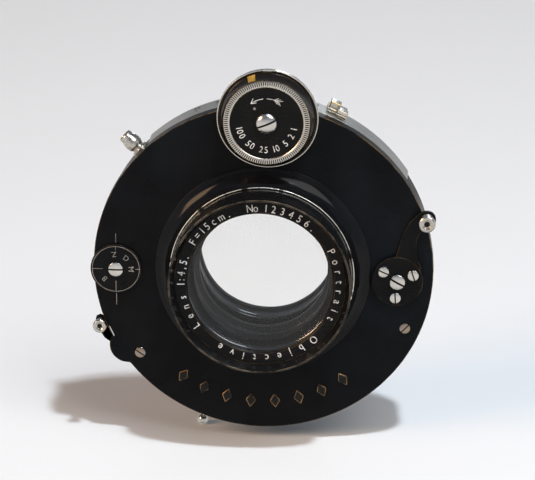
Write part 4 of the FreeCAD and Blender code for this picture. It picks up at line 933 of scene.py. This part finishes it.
ringline("mode_ring_line", 5.86, 0.16, MZ, GREY, md, (MX, MY))
for t, ang, tone in (("Z", 96, GREY), ("D", 47, GREY), ("M", 0, GREY_LINE), ("B", 222, GREY)):
    text_arc("mode_letter_%s" % t, t, 3.85, 1.35, ang, MZ, tone, md, at=(MX, MY))
for k, (ang, r0) in enumerate(((0, 4.9), (90, 4.9), (180, 3.2), (270, 3.1))):
    stroke("mode_tick_%d" % k, [polar(r0, ang, (MX, MY)), polar(r0 * 0.5 + 2.95, ang, (MX, MY)), polar(5.9, ang, (MX, MY))], 0.12, MZ + 0.001,
           GREY_LINE if ang in (0, 270) else GREY, md)


def face_z(x, y):
    r = math.hypot(x, y)
    return 12.315 if r < 37.6 else 12.315 - 0.5 * (r - 37.6) / 4.4


stroke("mode_index_top", [(MX, MY + 6.6 + 0.3 * i) for i in range(9)], 0.13, face_z, GREY, SHUT)
stroke("mode_index_low", [(MX, MY - 6.6 - 0.38 * i) for i in range(9)], 0.13, face_z, GREY_LINE, SHUT)

# ------------------------------------------------------------------ cable release socket
ca, sa = math.cos(math.radians(137)), math.sin(math.radians(137))


def radial_lathe(name, prof, mat, body, centre_r, level, ang, replaces=(), segs=96, raw=False, fillet=0.08, closed=True):
    """Revolved about a radial axis; profile is (radius, distance outward)."""
    p3 = [(p[0], p[1], p[2] if len(p) > 2 else 0.0) for p in prof] if raw else fillet_profile(prof, fillet, 3, closed)
    m = len(p3)
    u = Vector((math.cos(math.radians(ang)), math.sin(math.radians(ang)), 0))
    v = Vector((-u.y, u.x, 0))
    w = Vector((0, 0, 1))
    verts, wear, faces = [], [], []
    for j in range(segs):
        th = 2 * math.pi * j / segs
        for r, t, wr in p3:
            q = u * (centre_r + t) + v * (r * math.cos(th)) + w * (r * math.sin(th) + level)
            verts.append(tuple(q))
            wear.append(wr)
    for j in range(segs):
        k = (j + 1) % segs
        for i in range(m if closed else m - 1):
            q = (i + 1) % m
            faces.append((j * m + i, k * m + i, k * m + q, j * m + q))
    ob = mesh_piece(name, verts, faces, mat, body, replaces, wear)
    clean(ob)
    return ob


radial_lathe("release_socket", [(1.3, 0.0), (2.2, 0.0), (2.2, 0.7), (1.65, 0.9), (1.65, 1.3), (2.05, 1.9, 0.4), (2.15, 2.9, 0.6), (2.0, 3.9, 0.4),
                                (1.75, 4.5), (1.7, 5.4), (1.55, 5.6), (1.3, 5.6)], NICKEL, SHUT, 41.62, 6.2, 137.0, ("cable_release_socket",))
bore = []
for i in range(11):
    bore += [(1.29, 0.2 + i * 0.48), (1.22, 0.2 + i * 0.48 + 0.24)]
radial_lathe("release_socket_bore", bore, BRASS, SHUT, 41.62, 6.2, 137.0, raw=True, closed=False)

# ------------------------------------------------------------------ aperture ring, pointer, ball pin
ap = "aperture_ring"
ringp = [(32.45, 0.6)]
for i in range(28):
    q = 32.9 + 0.29 * i
    ringp += [(q, 0.6, 0.0), (q + 0.145, 0.622, 0.0)]
ringp += [(41.2, 0.6, 0.15), (41.2, 1.35, 0.1), (32.45, 1.35)]
lathe("iris_setting_ring", ringp, RING, ap, ("aperture_ring",), segs=320, fillet=0.08)
t = math.radians(65.5)
box_mesh("pointer_foot", 35.0, 43.1, -2.5, 2.5, 0.1, 0.6, NICKEL_EDGE, ap, bevel=0.15, turn=t, replaces=("aperture_pointer",))
box_mesh("pointer_upright", 42.3, 43.1, -2.5, 2.5, 0.1, 6.2, NICKEL_EDGE, ap, bevel=0.16, turn=t)
box_mesh("pointer_nib", 42.3, 43.1, -2.5, 0.4, 6.0, 8.1, NICKEL_EDGE, ap, bevel=0.16, turn=t)
box_mesh("pointer_grip_high", 43.0, 45.0, -0.3, 2.5, 3.2, 6.2, NICKEL_EDGE, ap, bevel=0.35, turn=t)
box_mesh("pointer_grip_low", 43.0, 44.3, -2.5, 0.4, 5.6, 8.1, NICKEL_EDGE, ap, bevel=0.35, turn=t)
t = math.radians(-110.0)
box_mesh("ball_foot", 35.0, 43.1, -1.6, 1.6, 0.1, 0.6, NICKEL, ap, bevel=0.15, turn=t, replaces=("aperture_ball_pin",))
box_mesh("ball_upright", 42.1, 43.1, -1.6, 1.6, 0.1, 4.4, NICKEL, ap, bevel=0.15, turn=t)
ballp = [(0.0, -0.3, 0), (0.85, -0.3, 0), (0.85, 0.35, 1), (0.72, 0.5, 0.6), (0.52, 0.6, 0), (0.5, 1.4, 0), (0.5, 2.45, 0)]
for k in range(1, 25):
    th = math.radians(157 - 157 * k / 24)
    ballp.append((max(0.0, 1.3 * math.sin(th)), 46.8 - 43.05 - 1.3 * math.cos(th) if False else 3.75 + 1.3 * math.cos(th), 0.0))
radial_lathe("ball_knob", ballp, NICKEL, ap, 43.05, 2.9, -110.0, raw=True, closed=False)

# aperture numbers on the band, read from above
stops = ("4,5", "6,3", "9", "12,5", "18", "25", "36")
for k, sname in enumerate(stops):
    ang = 65.5 + 48.0 * k / 6
    h = 1.5
    verts, faces = [], []
    widths = [glyph_width(c, h) for c in sname]
    total = sum(widths) + 0.2 * h * (len(sname) - 1)
    s = -total / 2
    for c, w in zip(sname, widths):
        mid = s + w / 2
        s += w + 0.2 * h
        vs, fs = glyph(c)
        x0 = (max(v[0] for v in vs) + min(v[0] for v in vs)) / 2
        base = len(verts)
        for vx, vy in vs:
            u = (vx - x0) * h / 0.7 + mid
            a = math.radians(ang) - u / 42.0
            verts.append((42.012 * math.cos(a), 42.012 * math.sin(a), 3.6 - (vy * h / 0.7 - h / 2)))
        faces += [tuple(base + i for i in f) for f in fs]
    mesh_piece("stop_number_%d" % k, verts, faces, RECESS_SHADE_AND_PRINT, SHUT)
    vv = []
    for z in (5.2, 6.6):
        for w in (-0.0022, 0.0022):
            a = math.radians(ang) + w
            vv.append((42.01 * math.cos(a), 42.01 * math.sin(a), z))
    mesh_piece("stop_tick_%d" % k, vv, [(0, 1, 3, 2)], RECESS_SHADE_AND_PRINT, SHUT)

# ------------------------------------------------------------------ CAD nodes shown as they are
LOOK = {"blued": BLUED, "brass": BRASS, "steel": STEEL, "matt": MATTE}
for name, ob in NODES.items():
    if name.startswith("iris_blade") or name.startswith("shutter_blade"):
        mat = (BLUED, BLUED_B, BLUED_C)[int(name.rsplit("_", 1)[1]) * 2 % 3]
    elif name in ("middle_retaining_ring", "blade_seat_plate"):
        mat = MATTE
    elif "spring" in name or "stud" in name or "screw" in name:
        mat = STEEL
    else:
        mat = BRASS
    ob.data.materials.clear()
    ob.data.materials.append(mat)

# ------------------------------------------------------------------ floor, light, camera
m, nt, out = base_material("floor_card")
b = nt.nodes.new("ShaderNodeBsdfPrincipled")
fl = noise(nt, 9.0, 6, 0.6, coords(nt))
fine = noise(nt, 900.0, 4, 0.6, coords(nt))
nt.links.new(mixc(nt, fl, (0.83, 0.82, 0.81), (0.87, 0.855, 0.84)), b.inputs["Base Color"])
nt.links.new(mixf(nt, fine, 0.75, 0.95), b.inputs["Roughness"])
nt.links.new(bump(nt, fine, 0.1, 0.00005), b.inputs["Normal"])
nt.links.new(b.outputs[0], out.inputs[0])
FLOOR_Z = before[0][2] - 0.0001
me = bpy.data.meshes.new("floor")
S = 4.0
me.from_pydata([(-S, -S, FLOOR_Z), (S, -S, FLOOR_Z), (S, S, FLOOR_Z), (-S, S, FLOOR_Z)], [], [(0, 1, 2, 3)])
me.materials.append(m)
floor = bpy.data.objects.new("floor", me)
scene.collection.objects.link(floor)
floor.visible_glossy = False

world = bpy.data.worlds.new("studio")
world.use_nodes = True
scene.world = world
bg = world.node_tree.nodes["Background"]
wt = world.node_tree
tcw = wt.nodes.new("ShaderNodeTexCoord")
sep = wt.nodes.new("ShaderNodeSeparateXYZ")
wt.links.new(tcw.outputs["Generated"], sep.inputs[0])
sky = ramp(wt, mathn(wt, "ADD", mathn(wt, "MULTIPLY", sep.outputs[2], 0.5), 0.5),
           [(0.0, (0.40, 0.39, 0.38)), (0.20, (0.86, 0.84, 0.82)), (0.40, (0.84, 0.83, 0.82)), (0.485, (0.62, 0.62, 0.64)), (0.505, (0.60, 0.63, 0.68)), (0.58, (0.46, 0.50, 0.56)),
            (0.68, (0.16, 0.18, 0.21)), (1.0, (0.12, 0.14, 0.17))])
wt.links.new(sky, bg.inputs[0])
bg.inputs[1].default_value = 0.92


def area(name, loc, target, size, power, color, size_y=None):
    la = bpy.data.lights.new(name, "AREA")
    la.energy = power
    la.color = color
    la.shape = "RECTANGLE"
    la.size = size
    la.size_y = size_y or size
    ob = bpy.data.objects.new(name, la)
    ob.location = loc
    ob.rotation_mode = "QUATERNION"
    ob.rotation_quaternion = (Vector(target) - Vector(loc)).to_track_quat("-Z", "Y")
    scene.collection.objects.link(ob)
    return ob


area("key", (1.25, -1.35, 1.95), (0, 0, 0), 1.6, 25.0, (1.0, 0.985, 0.97))
area("window", (0.16, 1.10, 0.42), (0, 0, 0), 0.20, 0.6, (0.82, 0.92, 1.0), 0.20)
area("top", (0.24, -0.36, 1.0), (0, 0, 0), 0.060, 9.0, (0.80, 0.90, 1.0), 0.080)
area("fill", (-1.7, -1.1, 1.0), (0, 0, 0), 0.9, 24.0, (1.0, 0.66, 0.40))

A, E, D = math.radians(3.88), math.radians(19.69), 0.8
back = Vector((math.sin(A) * math.cos(E), -math.cos(A) * math.cos(E), math.sin(E)))
right = Vector((math.cos(A), math.sin(A), 0))
up = back.cross(right)
P0 = row(0, 0, 12.0)
cam_data = bpy.data.cameras.new("camera")
cam_data.sensor_width = 36.0
cam_data.lens = 4.0515 * 800 / 535 * 36.0
cam = bpy.data.objects.new("camera", cam_data)
scene.collection.objects.link(cam)
cam.location = P0 + back * D
target = P0 + right * 0.00112 + up * 0.00720
cam.rotation_mode = "QUATERNION"
cam.rotation_quaternion = (target - cam.location).to_track_quat("-Z", "Y")
cam_data.clip_start, cam_data.clip_end = 0.01, 20.0
cam_data.dof.use_dof = False
scene.camera = cam
scene.view_settings.view_transform = "Standard"
scene.view_settings.look = "None"
